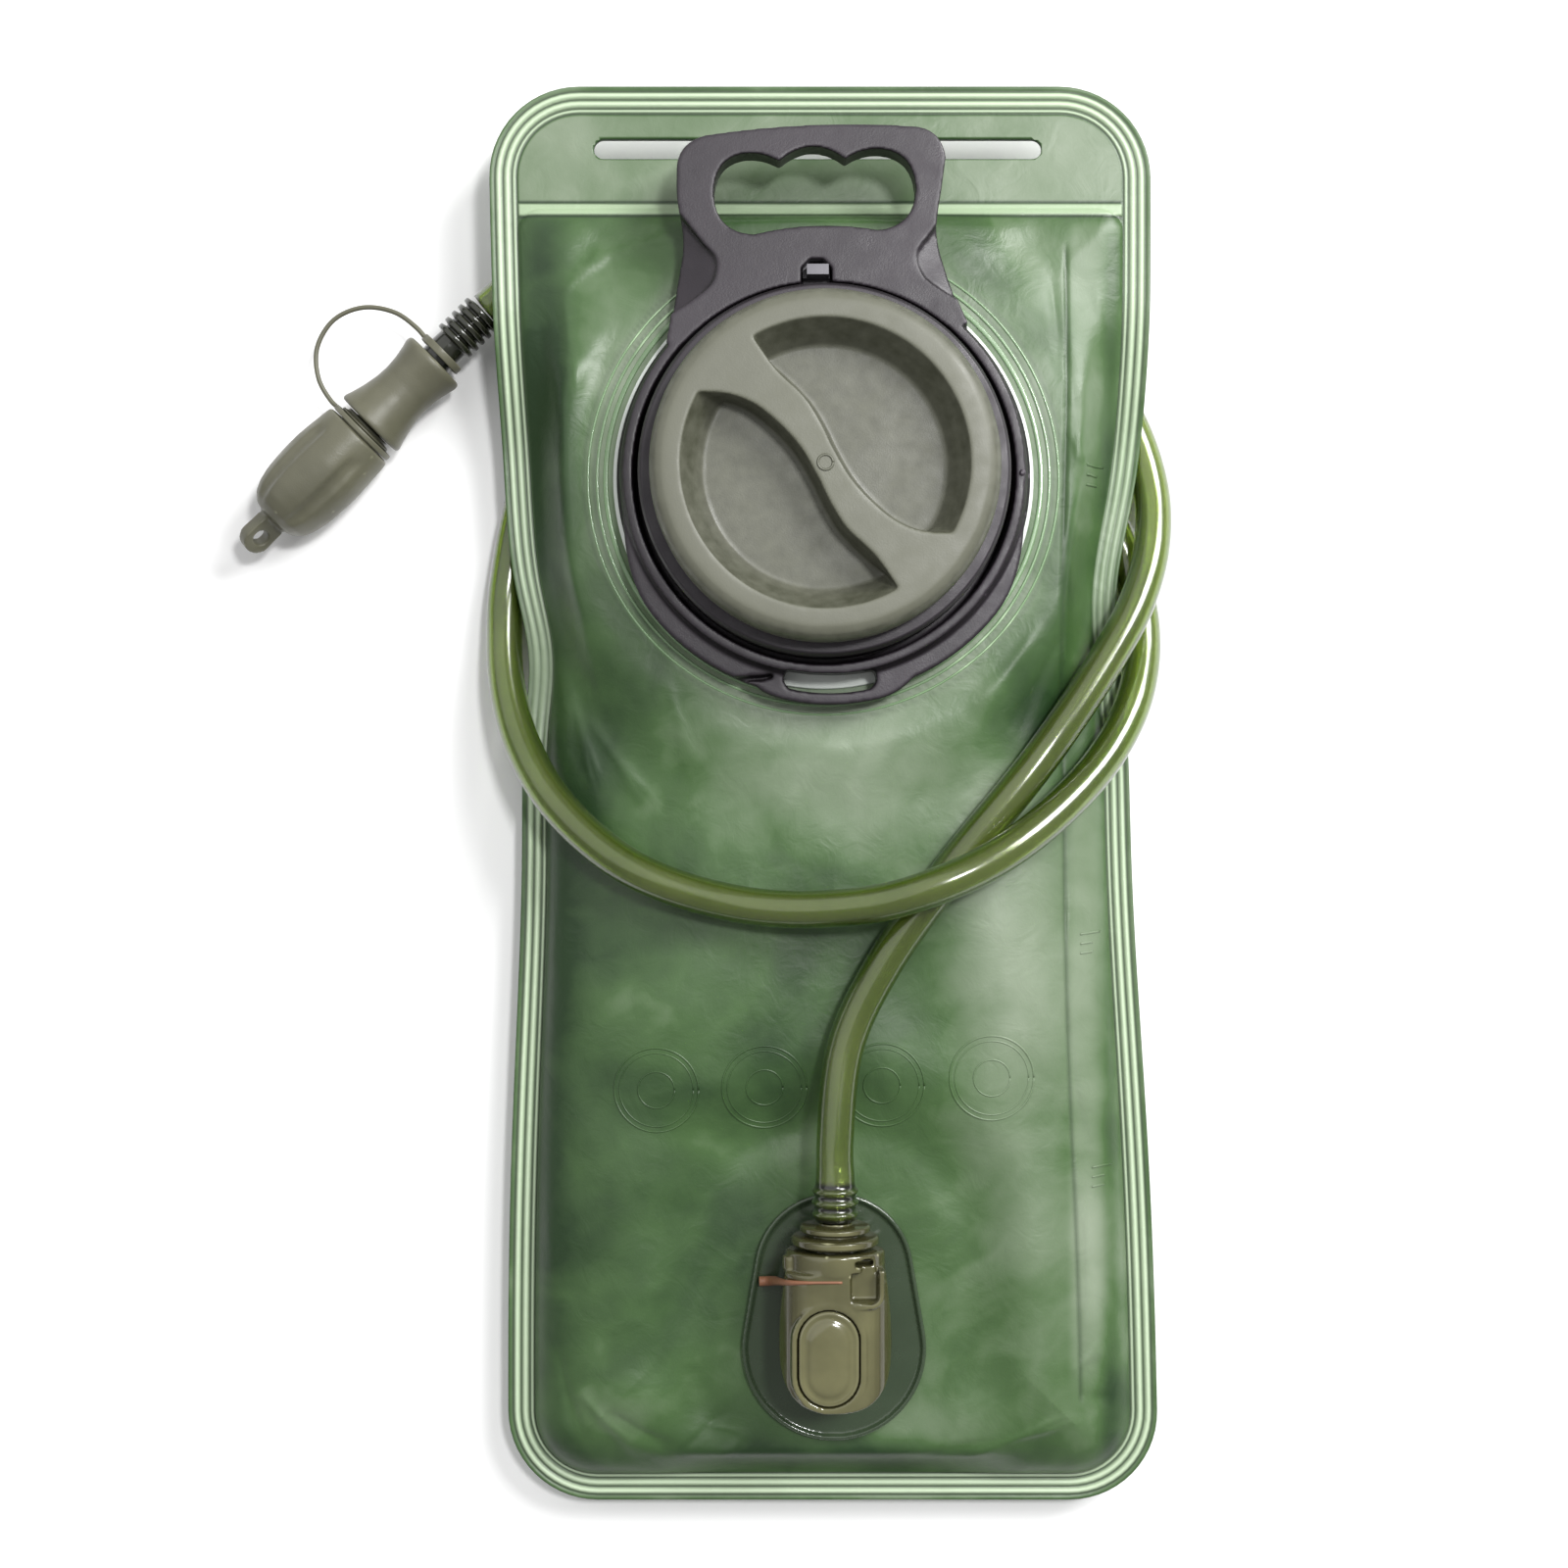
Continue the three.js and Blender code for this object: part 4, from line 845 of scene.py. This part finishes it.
def make_port_ring(materials):
    ring = lathe("port_ring", [
        (36.5, -2.9), (57.2, -2.9), (57.2, -0.9), (40, -0.9), (40, 14), (36.5, 14),
    ], materials["clear"], PORT_PLACE, 128, 0.6)
    # The flange's pale rim, whose white is also a painted highlight for the crescent that shines beside the
    # collar.
    rim = lathe("port_rim", [(46.8, -0.3), (52.5, -0.3), (52.3, 0.9), (46.8, 1.6)], materials["white"],
                PORT_PLACE, 144, 0.3)
    welds = [
        lathe(f"port_weld_{index + 1}", [(r - w, -0.4), (r + w, -0.4), (r + w * 0.6, h), (r - w * 0.6, h)],
              materials["pale_film"], PORT_PLACE, 144, 0.2)
        for index, (r, w, h) in enumerate(((54.3, 0.8, 0.4), (56.4, 0.5, 0.3), (58.7, 0.4, 0.24)))
    ]
    in_frame(ring, "clear_tpu", "bladder", "port_flange")
    for obj in (rim, *welds):
        in_frame(obj, "clear_tpu", "bladder")


def collar_outline():
    points = []
    for j in range(120):
        angle = 2 * math.pi * j / 120
        below = min(max(-math.sin(angle), 0), 1)
        radius = 50 + 4.5 * float(smooth(0.1, 0.65, below))
        points.append((radius * math.cos(angle), radius * math.sin(angle)))
    return points


def quadratic(start, middle, end):
    """Points on a curve pulled towards its middle point, without the start."""
    ts = np.linspace(0, 1, 9)[1:]
    a, b, c = (np.array(p, float) for p in (start, middle, end))
    return [tuple(a * (1 - t) ** 2 + b * 2 * t * (1 - t) + c * t * t) for t in ts]


def cubic(a, b, c, d):
    """Points on a curve from a to d pulled towards b and c, without the start."""
    a, b, c, d = (np.array(p, float) for p in (a, b, c, d))
    ts = np.linspace(0, 1, 11)[1:]
    return [
        tuple(a * (1 - t) ** 3 + b * 3 * t * (1 - t) ** 2 + c * 3 * t * t * (1 - t) + d * t**3) for t in ts
    ]


def path_of(start, *pieces):
    """An outline from a start, whose pieces are (middle, end) curves or lists of points to pass through."""
    points = [tuple(start)]
    for piece in pieces:
        if isinstance(piece, list):
            points += [tuple(p) for p in smooth_line([points[-1], *piece], 6)[1:]]
        else:
            points += quadratic(points[-1], *piece)
    return points


def handle_outline():
    return path_of(
        (-37.5, 33),
        [(-34.6, 47), (-32.6, 58), (-33.6, 69), (-33.4, 76)],
        ((-32.6, 82), (-26, 83.4)),
        ((0, 86.4), (25, 83.8)),
        ((31.6, 83), (32.4, 76)),
        [(31.2, 69), (29.6, 58), (32, 47), (36.5, 35)],
    )


def finger_outline():
    return path_of(
        (-24.6, 68.6),
        ((-24.4, 77.6), (-17, 78.6)),
        ((-12.4, 79), (-8.4, 76.4)),
        ((-0.2, 83), (7.8, 76.4)),
        ((11.8, 79), (16.4, 78.6)),
        ((24.6, 77.6), (24.8, 68.6)),
        ((24.2, 59.4), (15.4, 58.8)),
        ((0, 62), (-15, 58.8)),
        ((-24.2, 59.4), (-24.6, 68.6)),
    )[:-1]


def lug_outline():
    return path_of(
        (-18, -47),
        ((-19.4, -52.8), (-10, -55.2)),
        ((1.5, -58), (14, -55)),
        ((20.5, -53), (24, -47)),
    )


def lug_slot():
    return path_of(
        (-9, -48),
        ((1.5, -50), (12.2, -48)),
        ((14, -50.6), (11.4, -52.6)),
        ((1.5, -54.8), (-8.4, -52.6)),
        ((-11, -50.6), (-9, -48)),
    )[:-1]


def flank(side):
    """The hollow at the foot of the handle, on one side."""
    return path_of(
        (side * 36, 68),
        [(side * 32, 63), (side * 28, 57.5), (side * 24.4, 52.6), (side * 25.6, 47.6), (side * 30, 43.8),
         (side * 38, 39)],
    )


HANDLE_BASE = 4.4
HANDLE_TOP = 11.9
LUG_TOP = 8.8


def bored(piece):
    """Clears the collar's bore out of a piece."""
    disc = [(0, -5), (46.7, -5), (46.7, 40), (0, 40)]
    return combine(piece, [lathe("bore", disc, None, None, 120, 0.01)], "DIFFERENCE")


def make_collar(materials):
    """The collar and its handle, one moulding."""
    base = lathe("collar", [
        (46.6, 3), (40.6, 3), (40.6, 0.4), (51.4, 0.4), (51.4, 2.6), (50.4, 3.4), (50.4, 6.2), (49.9, 6.8),
        (49.9, 9.6), (49.2, 10.4), (49.2, 11.9), (46.8, 11.9),
    ], materials["dark"], None, 144, 0.25)
    lower = bored(prism("lower", collar_outline(), 0.4, LUG_TOP))
    plate = bored(put(prism("plate", handle_outline(), HANDLE_BASE, HANDLE_TOP), HANDLE_TURN))
    lug = bored(prism("lug", lug_outline(), HANDLE_BASE, LUG_TOP))
    cuts = [
        put(prism("finger", finger_outline(), -5, 40), HANDLE_TURN),
        prism("slot", lug_slot(), -5, 40),
        prism("window", [(-5.6, 46), (1.9, 46), (1.9, 50), (-0.2, 52.2), (-3.5, 52.2), (-5.6, 50)], 6.2, 30),
        put(prism("flank", flank(-1), lambda x: 11.4 - 0.42 * (-x - 24.4), 30), HANDLE_TURN),
        put(prism("flank", flank(1), lambda x: 11.5 - 0.26 * (x - 24.4), 30), HANDLE_TURN),
        prism("hook", [
            (-24, -51.2), (-15, -50.6), (-11, -49.4), (-11, -48.7), (-16, -49.4), (-24, -49.9),
        ], 5, 30),
    ]
    collar = moulded(base, [lower, plate, lug], cuts, 0.42, 4)
    collar.name = "collar_with_handle"
    put(collar, PORT_PLACE)
    in_frame(collar, "dark_plastic", "bladder", "collar_handle")


def make_cap_ring(materials):
    ring = lathe("screw_ring", [
        (42.3, 4.2), (44.8, 4.2), (45.2, 4.8), (45.2, 17.2), (44.4, 18.3), (32.8, 18.3), (32.8, 16),
        (42.3, 16),
    ], materials["dark"], PORT_PLACE, 144, 0.35)
    in_frame(ring, "dark_plastic", "cap", "cap_ring")


CAP_TOP = 29.6
RECESS_FLOOR = 20.6


def recess_outline(rim, inset):
    """One finger recess of the cap, with its round wall at a radius and its curved wall set in."""
    edge = [
        (-11.8, 22.1), (-4.8, 15.2), (-1.2, 9.5), (2, 3), (6.2, -4), (11.6, -9.8), (17.1, -14), (23.2, -16.2),
    ]
    start, end = math.radians(-29), math.radians(120)
    last = (rim * math.cos(start), rim * math.sin(start))
    first = (rim * math.cos(end), rim * math.sin(end))
    moved = [(x + inset * 0.86, y + inset * 0.5) for x, y in edge]
    round_wall = arc(0, 0, rim, -29, 120, 60)
    return round_wall + [tuple(p) for p in smooth_line([first, *moved, last], 6)[1:-1]]


def make_cap(materials):
    body = lathe("cap", [
        (0, 18.6), (41.4, 18.6), (42, 19.2), (42, 25.4), (41.6, 27.2), (40.6, 28.6), (38.8, 29.5),
        (36.8, CAP_TOP), (0, CAP_TOP),
    ], materials["olive"], None, 144, 0.6)
    cuts = []
    for turn in (0, math.pi):
        tool = prism("recess", recess_outline(34.6, 0), RECESS_FLOOR, 29.8, recess_outline(29.4, 1.2))
        top = prism("recess_top", recess_outline(34.6, 0), 29.7, 34)
        combine(tool, [top], "UNION")
        cuts.append(put(tool, Matrix.Rotation(turn, 4, "Z")))
    cap = moulded(body, [], cuts, 0.42, 4)
    cap.name = "cap_top"
    put(cap, PORT_PLACE)
    line = [(x, y, 29.55) for x, y in circle(1.8, 33)]
    ring = sweep("cap_ring_mark", line, lambda i: 0.34, 10, materials["olive"])
    put(ring, PORT_PLACE)
    in_frame(cap, "olive_plastic", "cap", "cap_grip")
    in_frame(ring, "olive_plastic", "cap")


# ---- outlet

OUTLET_PLACE = Matrix.Translation(OUTLET)
ALONG_Y = Matrix.Rotation(-math.pi / 2, 4, "X")
PLUG_PLACE = OUTLET_PLACE @ Matrix.Translation((0, 0, PLUG_AXIS))
PLUG_TURNED = PLUG_PLACE @ ALONG_Y


def egg_outline(top_radius, bottom_radius, height, grow):
    top = height / 2 - top_radius
    bottom = bottom_radius - height / 2
    tilt = math.degrees(math.asin((bottom_radius - top_radius) / (top - bottom)))
    upper = arc(0, top, top_radius + grow, tilt, 180 - tilt, 40)
    return upper + arc(0, bottom, bottom_radius + grow, 180 - tilt, 360 + tilt, 56)


def plate_outline(grow=0.0):
    return egg_outline(20, 23.2, 62.2, grow)


def make_outlet_flange(materials):
    """A smoked plate with a raised lip, welded to the film."""
    base = prism("flange", plate_outline(), 0.3, 1.5)
    base.data.materials.append(materials["smoked"])
    lip = prism("lip", plate_outline(), 1.4, 2.3)
    hollow = prism("hollow", plate_outline(-1.1), 1.2, 5)
    combine(lip, [hollow], "DIFFERENCE")
    flange = moulded(base, [lip], [], 0.35, 4)
    flange.name = "outlet_plate"
    put(flange, OUTLET_PLACE)
    in_frame(flange, "smoked_plastic", "bladder", "outlet_flange")


def button_outline(width, length):
    return [(x - 1.7, y - 5.4) for x, y in racetrack(width, length)]


def socket_plan():
    points = [(12.3, 14.9), (-12.3, 14.9)]
    points += quadratic((-12.3, 14.9), (-14.3, 0), (-13.7, -5.8))
    points += cubic((-13.7, -5.8), (-13.7, -15.8), (-6.85, -18.8), (0, -18.8))
    points += cubic((0, -18.8), (6.85, -18.8), (13.7, -15.8), (13.7, -5.8))
    points += quadratic((13.7, -5.8), (14.3, 0), (12.3, 14.9))[:-1]
    return points


def socket_section():
    half = 14.7
    points = [(half, 2.4), (half, 8.6)]
    points += cubic((half, 8.6), (half, 19.8), (half - 5, 22.8), (half - 9, 22.8))
    points += [(9 - half, 22.8)]
    points += cubic((9 - half, 22.8), (5 - half, 22.8), (-half, 19.8), (-half, 8.6))
    points += [(-half, 2.4)]
    return points


def make_socket(materials):
    block = prism("socket", socket_plan(), 2.4, 22.8)
    block.data.materials.append(materials["amber"])
    tunnel = put(prism("section", socket_section(), -30, 30), Matrix.Rotation(math.pi / 2, 4, "X"))
    combine(block, [tunnel], "INTERSECT")
    wide = Matrix.Translation((0, 0, PLUG_AXIS)) @ Matrix.Diagonal((1.24, 1, 1, 1)) @ ALONG_Y
    band = lathe("band", [
        (0, 13.9), (9.6, 13.9), (9.9, 14.6), (9.9, 19.2), (9.2, 19.7), (0, 19.7),
    ], None, wide)
    bump = lathe("bump", [(0, 15.2), (2.1, 15.2), (2.1, 18.6), (0, 18.6)], None,
                 Matrix.Translation((-10.9, 0, PLUG_AXIS + 3)) @ ALONG_Y)
    bezel = prism("bezel", button_outline(18.2, 26.8), 20.2, 22.9)
    bore = lathe("bore", [(0, 1.4), (5.7, 1.4), (5.7, 30), (0, 30)], None,
                 Matrix.Translation((0, 0, PLUG_AXIS)) @ ALONG_Y)
    pocket = prism("pocket", button_outline(15.3, 23.7), 19.2, 40)
    notch = prism("notch", [
        (3.6, 8.4), (10.2, 8.4), (10.2, 18.4), (6.2, 18.4), (6.2, 15.2), (3.6, 15.2),
    ], 19.8, 40)
    hollow = prism("hollow", [(4.6, 16.6), (9.2, 16.6), (9.2, 18), (4.6, 18)], 16.5, 40)
    ridge = prism("ridge", [
        *arc(8.4, 10, 3.3, -90, 0, 8), (11.7, 16), (10.5, 16), *arc(8.4, 10, 2.1, 0, -90, 8),
        (4.6, 7.9), (4.6, 6.7),
    ], 12, 23)
    groove = combine(
        prism("groove", [(-20, 12.8), (20, 12.8), (20, 13.7), (-20, 13.7)], 5, 40),
        [lathe("core", [(0, 0), (11, 0), (11, 30), (0, 30)], None, wide.copy())],
        "DIFFERENCE",
    )
    socket = moulded(block, [band, bump, bezel], [bore, pocket, notch, hollow, groove], 0.3, 3)
    socket = moulded(socket, [ridge], [], 0.3, 2)
    socket.name = "outlet_body"
    put(socket, OUTLET_PLACE)
    in_frame(socket, "amber_plastic", "bladder", "outlet_socket")


def make_button(materials):
    """A racetrack button with a bulging pad."""
    rings = [(0, 20.6), (0, 22.7), (-0.35, 23.0), (-1.1, 22.8), (-1.7, 22.75), (-2.4, 23.15), (-3.6, 23.42),
             (-5.4, 23.55), (-7.2, 23.6)]
    loops = [button_outline(14.6 + 2 * grow, 23 + 2 * grow) for grow, _ in rings]
    points = [(x, y, z) for loop, (_, z) in zip(loops, rings) for x, y in loop]
    faces = capped_faces(len(rings), len(loops[0]))
    button = clean(add_mesh("release_pad", points, faces, materials["amber"]))
    put(button, OUTLET_PLACE)
    in_frame(button, "amber_plastic", "release", "release_button")


def make_plug(materials):
    barbs = []
    for start in (35, 32.2, 29.4):
        barbs += [(3.5, start + 0.9), (4.6, start - 0.4), (4.6, start - 1.2), (3.5, start - 1.8)]
    nose = lathe("plug_barbs", [
        (2.4, 36), (3.5, 36), *barbs, (3.5, 26.2), (2.4, 26.2),
    ], materials["barb"], PLUG_TURNED, 64, 0.12)
    plug = lathe("plug", [
        (2.2, 26), (4.2, 26), (4.2, 25.6), (8.2, 25.5), (8.7, 25.1), (8.7, 24.2), (8.2, 23.8), (6.6, 23.6),
        (6.6, 23), (10.3, 22.9), (10.8, 22.4), (10.8, 21.2), (10.3, 20.7), (5.4, 20.4), (5.4, 13.6),
        (3.7, 13.4), (3.7, 11.2), (5.4, 11), (5.4, 9.2), (4.2, 9), (4.2, 6), (5.4, 5.4), (4.6, 2), (2.2, 2),
    ], materials["amber"], PLUG_TURNED, 64, 0.18)
    in_frame(plug, "amber_plastic", "bladder", "hose_plug")
    in_frame(nose, "amber_plastic", "bladder")
    ring = [(x, 12.3, z) for x, z in circle(4.75, 49)]
    seal = sweep("orange_seal", ring, lambda i: 0.66, 14, materials["orange"])
    put(seal, PLUG_PLACE)
    in_frame(seal, "orange_rubber", "bladder", "plug_o_ring")
    make_seal_strip(materials)
    return [plug, nose, seal]


def make_seal_strip(materials):
    """An orange strip that runs in the socket's groove and down on to the plate, thicker at its free end."""
    line = smooth_line([
        (1.5, 13.2, 22.7), (-4, 13.2, 22.8), (-7.6, 13.1, 22.5), (-10.8, 12.7, 20.6), (-13.2, 11.9, 16),
        (-14.6, 10.6, 9), (-15.4, 9.6, 4.4), (-16.8, 9.2, 2.9), (-18.8, 9.1, 2.8),
    ], 6)
    strip = sweep("seal_strip", line, lambda i: 0.35 + 0.9 * float(smooth(4, 40, i)), 10, materials["orange"])
    put(strip, OUTLET_PLACE)
    in_frame(strip, "orange_rubber", "bladder")


def make_poppet_spring(materials):
    """The check poppet's coil spring, built at one fixed length; the real one shortens as the poppet is
    pushed.
    """
    radius, pitch, front = 3.3, 1.95, -4.96
    coil = []
    for turn in np.linspace(0, 5, 121):
        angle = 2 * math.pi * turn
        coil.append((radius * math.cos(angle), front - pitch * turn, radius * math.sin(angle)))
    spring = sweep("poppet_coil", coil, lambda i: 0.34, 10, materials["steel"])
    put(spring, PLUG_PLACE)
    in_frame(spring, "steel", "bladder", "poppet_spring")
    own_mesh(spring)


# ---- hose


def hose_path():
    """The route's fine points, begun over the plug's barbs."""
    first = HOSE_ROUTE[0]
    barb_end = (first[0], first[1] - BARB_COVER, first[2])
    path = smooth_line([barb_end, *HOSE_ROUTE], 10)
    fine = [a + (b - a) * i / 4 for a, b in zip(path[:20], path[1:21]) for i in range(4)]
    return fine + path[20:]


# Distances from the hose's end, over the plug: where its barbs bulge the hose, and the gaps between them.
BARB_BULGES = (1.6, 4.4, 7.2)
BARB_GAPS = (0.2, 3, 5.8, 8.6)


def paint_gaps(hose, start):
    """Marks the stretched hose's dark bands, between the plug's barbs. It leaves the plug along Y."""
    x, y, z = (np.array([v.co for v in hose.data.vertices]) / MM).T
    along = y - start[1]
    near = (along < 14) & (np.abs(x - start[0]) < 8) & (z > 24)
    gap = np.where(near, sum(bell(along - at, 0.75) for at in BARB_GAPS), 0)
    attribute = hose.data.attributes.new("barb", "FLOAT", "POINT")
    attribute.data.foreach_set("value", gap.astype(np.float32))


def make_hose(materials):
    path = hose_path()
    along = [0.0]
    for a, b in zip(path, path[1:]):
        along.append(along[-1] + float(np.linalg.norm(b - a)))

    def outer(i):
        """The radius outside, which grows over the barbs."""
        ripple = sum(float(bell(along[i] - at, 0.8)) for at in BARB_BULGES)
        return HOSE_RADIUS + (0.35 * float(smooth(16, 6, along[i])) + 0.8 * ripple)

    def inner(i):
        return 3.2 + 1.5 * float(smooth(14, 8.5, along[i]))

    hose = sweep("drinking_hose", path, outer, 32, materials["hose"], inner)
    paint_gaps(hose, path[0])
    in_frame(hose, "hose_tpu", "bladder", "hose")


# ---- bite valve

VALVE_PLACE = Matrix.Translation(VALVE) @ Matrix.Rotation(VALVE_HEADING, 4, "Z")
ALONG_X = Matrix.Rotation(math.pi / 2, 4, "Y")


def valve_part(name, pairs, material, node, body, radius):
    """A turned piece of the bite valve."""
    obj = lathe(name, pairs, material, VALVE_PLACE @ ALONG_X, 72, radius)
    return in_frame(obj, "valve_rubber", body, node)


def make_adapter(materials):
    barbs = []
    for start in (1.2, 3.5, 5.8, 8.1, 10.4):
        barbs += [(4.2, start - 0.75), (5.6, start - 0.45), (5.6, start + 0.75), (4.2, start + 1.05)]
    adapter = valve_part("hose_adapter", [
        (2.2, 0.3), (4.2, 0.35), *barbs, (4.3, 13), (4.3, 20.2), (3.5, 20.3), (3.5, 22.7), (4.3, 22.8),
        (4.3, 26.6), (2.2, 26.6),
    ], materials["barb"], "valve_adapter", "bladder", 0.35)
    ring = [(21.5, y, z) for y, z in circle(4.55, 41)]
    seal = put(sweep("adapter_seal", ring, lambda i: 0.68, 12, materials["seal"]), VALVE_PLACE)
    in_frame(seal, "seal_rubber", "bladder", "adapter_o_ring")
    return [adapter, seal]


def make_valve_body(materials):
    return valve_part("valve_body", [
        (5.6, 17.9), (7.9, 17.9), (8.5, 18.4), (8.6, 19.4), (8.1, 21.5), (7.5, 24.5), (7.2, 28), (7.4, 31.5),
        (8.1, 35.4), (8.9, 38.4), (9.5, 40.2), (9.5, 41), (9.1, 41.4), (4.2, 41.4), (4.2, 27.2), (5.6, 27),
    ], materials["rubber"], "bite_valve_body", "bite_valve", 0.7)


def make_mouthpiece(materials):
    return valve_part("bite_mouthpiece", [
        (2.8, 36), (3.8, 36), (3.8, 41.8), (6.4, 41.8), (6.4, 42.5), (7.6, 42.7), (7.6, 43.3), (6.4, 43.5),
        (6.4, 46.5), (7.2, 48), (7.2, 50.5), (6.2, 53), (5.8, 60), (5, 62), (3.2, 62), (3.2, 40), (2.8, 39),
    ], materials["rubber"], "mouthpiece", "nozzle", 0.3)


def flutes(radius, along, angle):
    """Long hollows round the dust cover."""
    run = float(smooth(48, 53, along) * smooth(76, 71, along))
    return 1 - 0.075 * run * float(smooth(0.55, 0.98, math.cos(5 * angle))) if radius > 8 or along > 70 else 1


def make_cover(materials):
    cover = lathe("cover_shell", [
        (7.9, 45.2), (9.3, 45.2), (9.8, 45.6), (10.0, 47), (10.2, 49), (10.5, 52), (10.8, 56), (10.8, 60),
        (10.6, 64), (10.2, 67.6), (9.4, 71), (8.2, 73.6), (6.2, 75.5), (3.2, 76.4), (0, 76.6), (0, 69.5),
        (5, 69.3), (7.9, 66.5),
    ], materials["rubber"], ALONG_X.copy(), 90, 0.5, flutes)
    lean = Matrix.Rotation(math.radians(-52), 4, "X")
    tip = prism("tip", [
        (74.6, -3.4), (82.2, -3.9), *arc(82.2, 0, 3.9, -80, 80, 16), (82.2, 3.9), (74.6, 3.4),
    ], -1.9, 1.9)
    hole = prism("tip_hole", arc(81.4, 0, 2.1, 0, 345, 23), -5, 5)
    put(tip, lean)
    put(hole, lean)
    cover = moulded(cover, [tip], [hole], 0.4, 4)
    cover.name = "cover_cap"
    put(cover, VALVE_PLACE)
    in_frame(cover, "valve_rubber", "cover", "dust_cover")
    return cover


def make_tether(materials):
    """A ring round the adapter's neck, a bowed strap and a ring under the cover's rim."""
    strap = smooth_line([
        (15.6, -5.4, 0), (15.4, -9.5, 0), (16.6, -16, 0), (21.5, -22.6, 0), (29, -25.6, 0), (37, -23.6, 0),
        (42.4, -17.6, 0), (44.1, -11.5, 0), (44.1, -8.8, 0),
    ], 8)
    tether = sweep("cover_tether", strap, lambda i: 0.62, 14, materials["rubber"])
    rings = [
        lathe("neck_ring", [(4.7, 14.6), (6.2, 14.6), (6.2, 16.6), (4.7, 16.6)], None, ALONG_X, 64, 0.3),
        lathe("rim_ring", [(8.2, 43.4), (9.3, 43.4), (9.3, 44.8), (8.2, 44.8)], None, ALONG_X, 72, 0.3),
    ]
    combine(tether, rings, "UNION")
    tether.data.shade_smooth()
    put(tether, VALVE_PLACE)
    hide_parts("tether")
    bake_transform(tether)
    return tether


# ---- kept CAD pieces


KEPT = {
    "lock_tab": "grey",
    "index_pin": "dark",
    "cap_gasket": "silicone",
    "cap_liner": "dark",
    "latch_plate": "steel",
    "button_spring": "silicone",
    "check_poppet": "grey",
    "valve_stem": "grey",
    "stem_spider": "grey",
}


def dress_kept(materials):
    for node, look in KEPT.items():
        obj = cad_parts[node]
        obj.data.materials.clear()
        obj.data.materials.append(materials[look])


# ---- stage and light


def make_stage():
    look = Looks("floor")
    tone = look.noise(3, 2)
    look.colour(look.mix(tone, (0.9, 0.9, 0.9), (0.93, 0.93, 0.93)))
    look.sockets(Roughness=0.9, Specular_IOR_Level=0.1)
    half, level = 3000, -0.05
    corners = [(-half, -half, level), (half, -half, level), (half, half, level), (-half, half, level)]
    floor = add_mesh("floor", corners, [(0, 1, 2, 3)], look.material)


def area_light(name, place, size, energy):
    """A light of square shape that faces the origin. Its place and size are in metres."""
    data = bpy.data.lights.new(name, "AREA")
    data.shape = "RECTANGLE"
    data.size = data.size_y = size
    data.energy = energy
    light = bpy.data.objects.new(name, data)
    light.location = place
    light.rotation_euler = (-Vector(place)).to_track_quat("-Z", "Y").to_euler()
    bpy.context.scene.collection.objects.link(light)


def make_lights():
    scene = bpy.context.scene
    scene.view_settings.view_transform = "Standard"
    world = bpy.data.worlds.new("studio")
    world.use_nodes = True
    world.node_tree.nodes["Background"].inputs["Color"].default_value = (1, 1, 1, 1)
    world.node_tree.nodes["Background"].inputs["Strength"].default_value = 0.32
    scene.world = world
    area_light("key", (0.85, 0.75, 0.95), 0.6, 22.5)
    area_light("top", (0.34, 0.3, 1.25), 0.16, 8)
    sun = bpy.data.lights.new("fill", "SUN")
    sun.energy = 0.84
    sun.angle = math.radians(70)
    fill = bpy.data.objects.new("fill", sun)
    fill.rotation_euler = (math.radians(-24), math.radians(-30), 0)
    scene.collection.objects.link(fill)


# ---- assembly

make_camera()
MATERIALS = make_materials()
plug_pieces = make_plug(MATERIALS)
valve_pieces = [
    *make_adapter(MATERIALS),
    make_valve_body(MATERIALS),
    make_mouthpiece(MATERIALS),
    make_cover(MATERIALS),
    make_tether(MATERIALS),
    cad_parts["valve_stem"],
    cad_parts["stem_spider"],
]
make_hose(MATERIALS)
make_front(MATERIALS)
make_back(MATERIALS)
make_marks(MATERIALS)
make_port_ring(MATERIALS)
make_collar(MATERIALS)
make_cap_ring(MATERIALS)
make_cap(MATERIALS)
make_outlet_flange(MATERIALS)
make_socket(MATERIALS)
make_button(MATERIALS)
make_poppet_spring(MATERIALS)
dress_kept(MATERIALS)
make_stage()
make_lights()
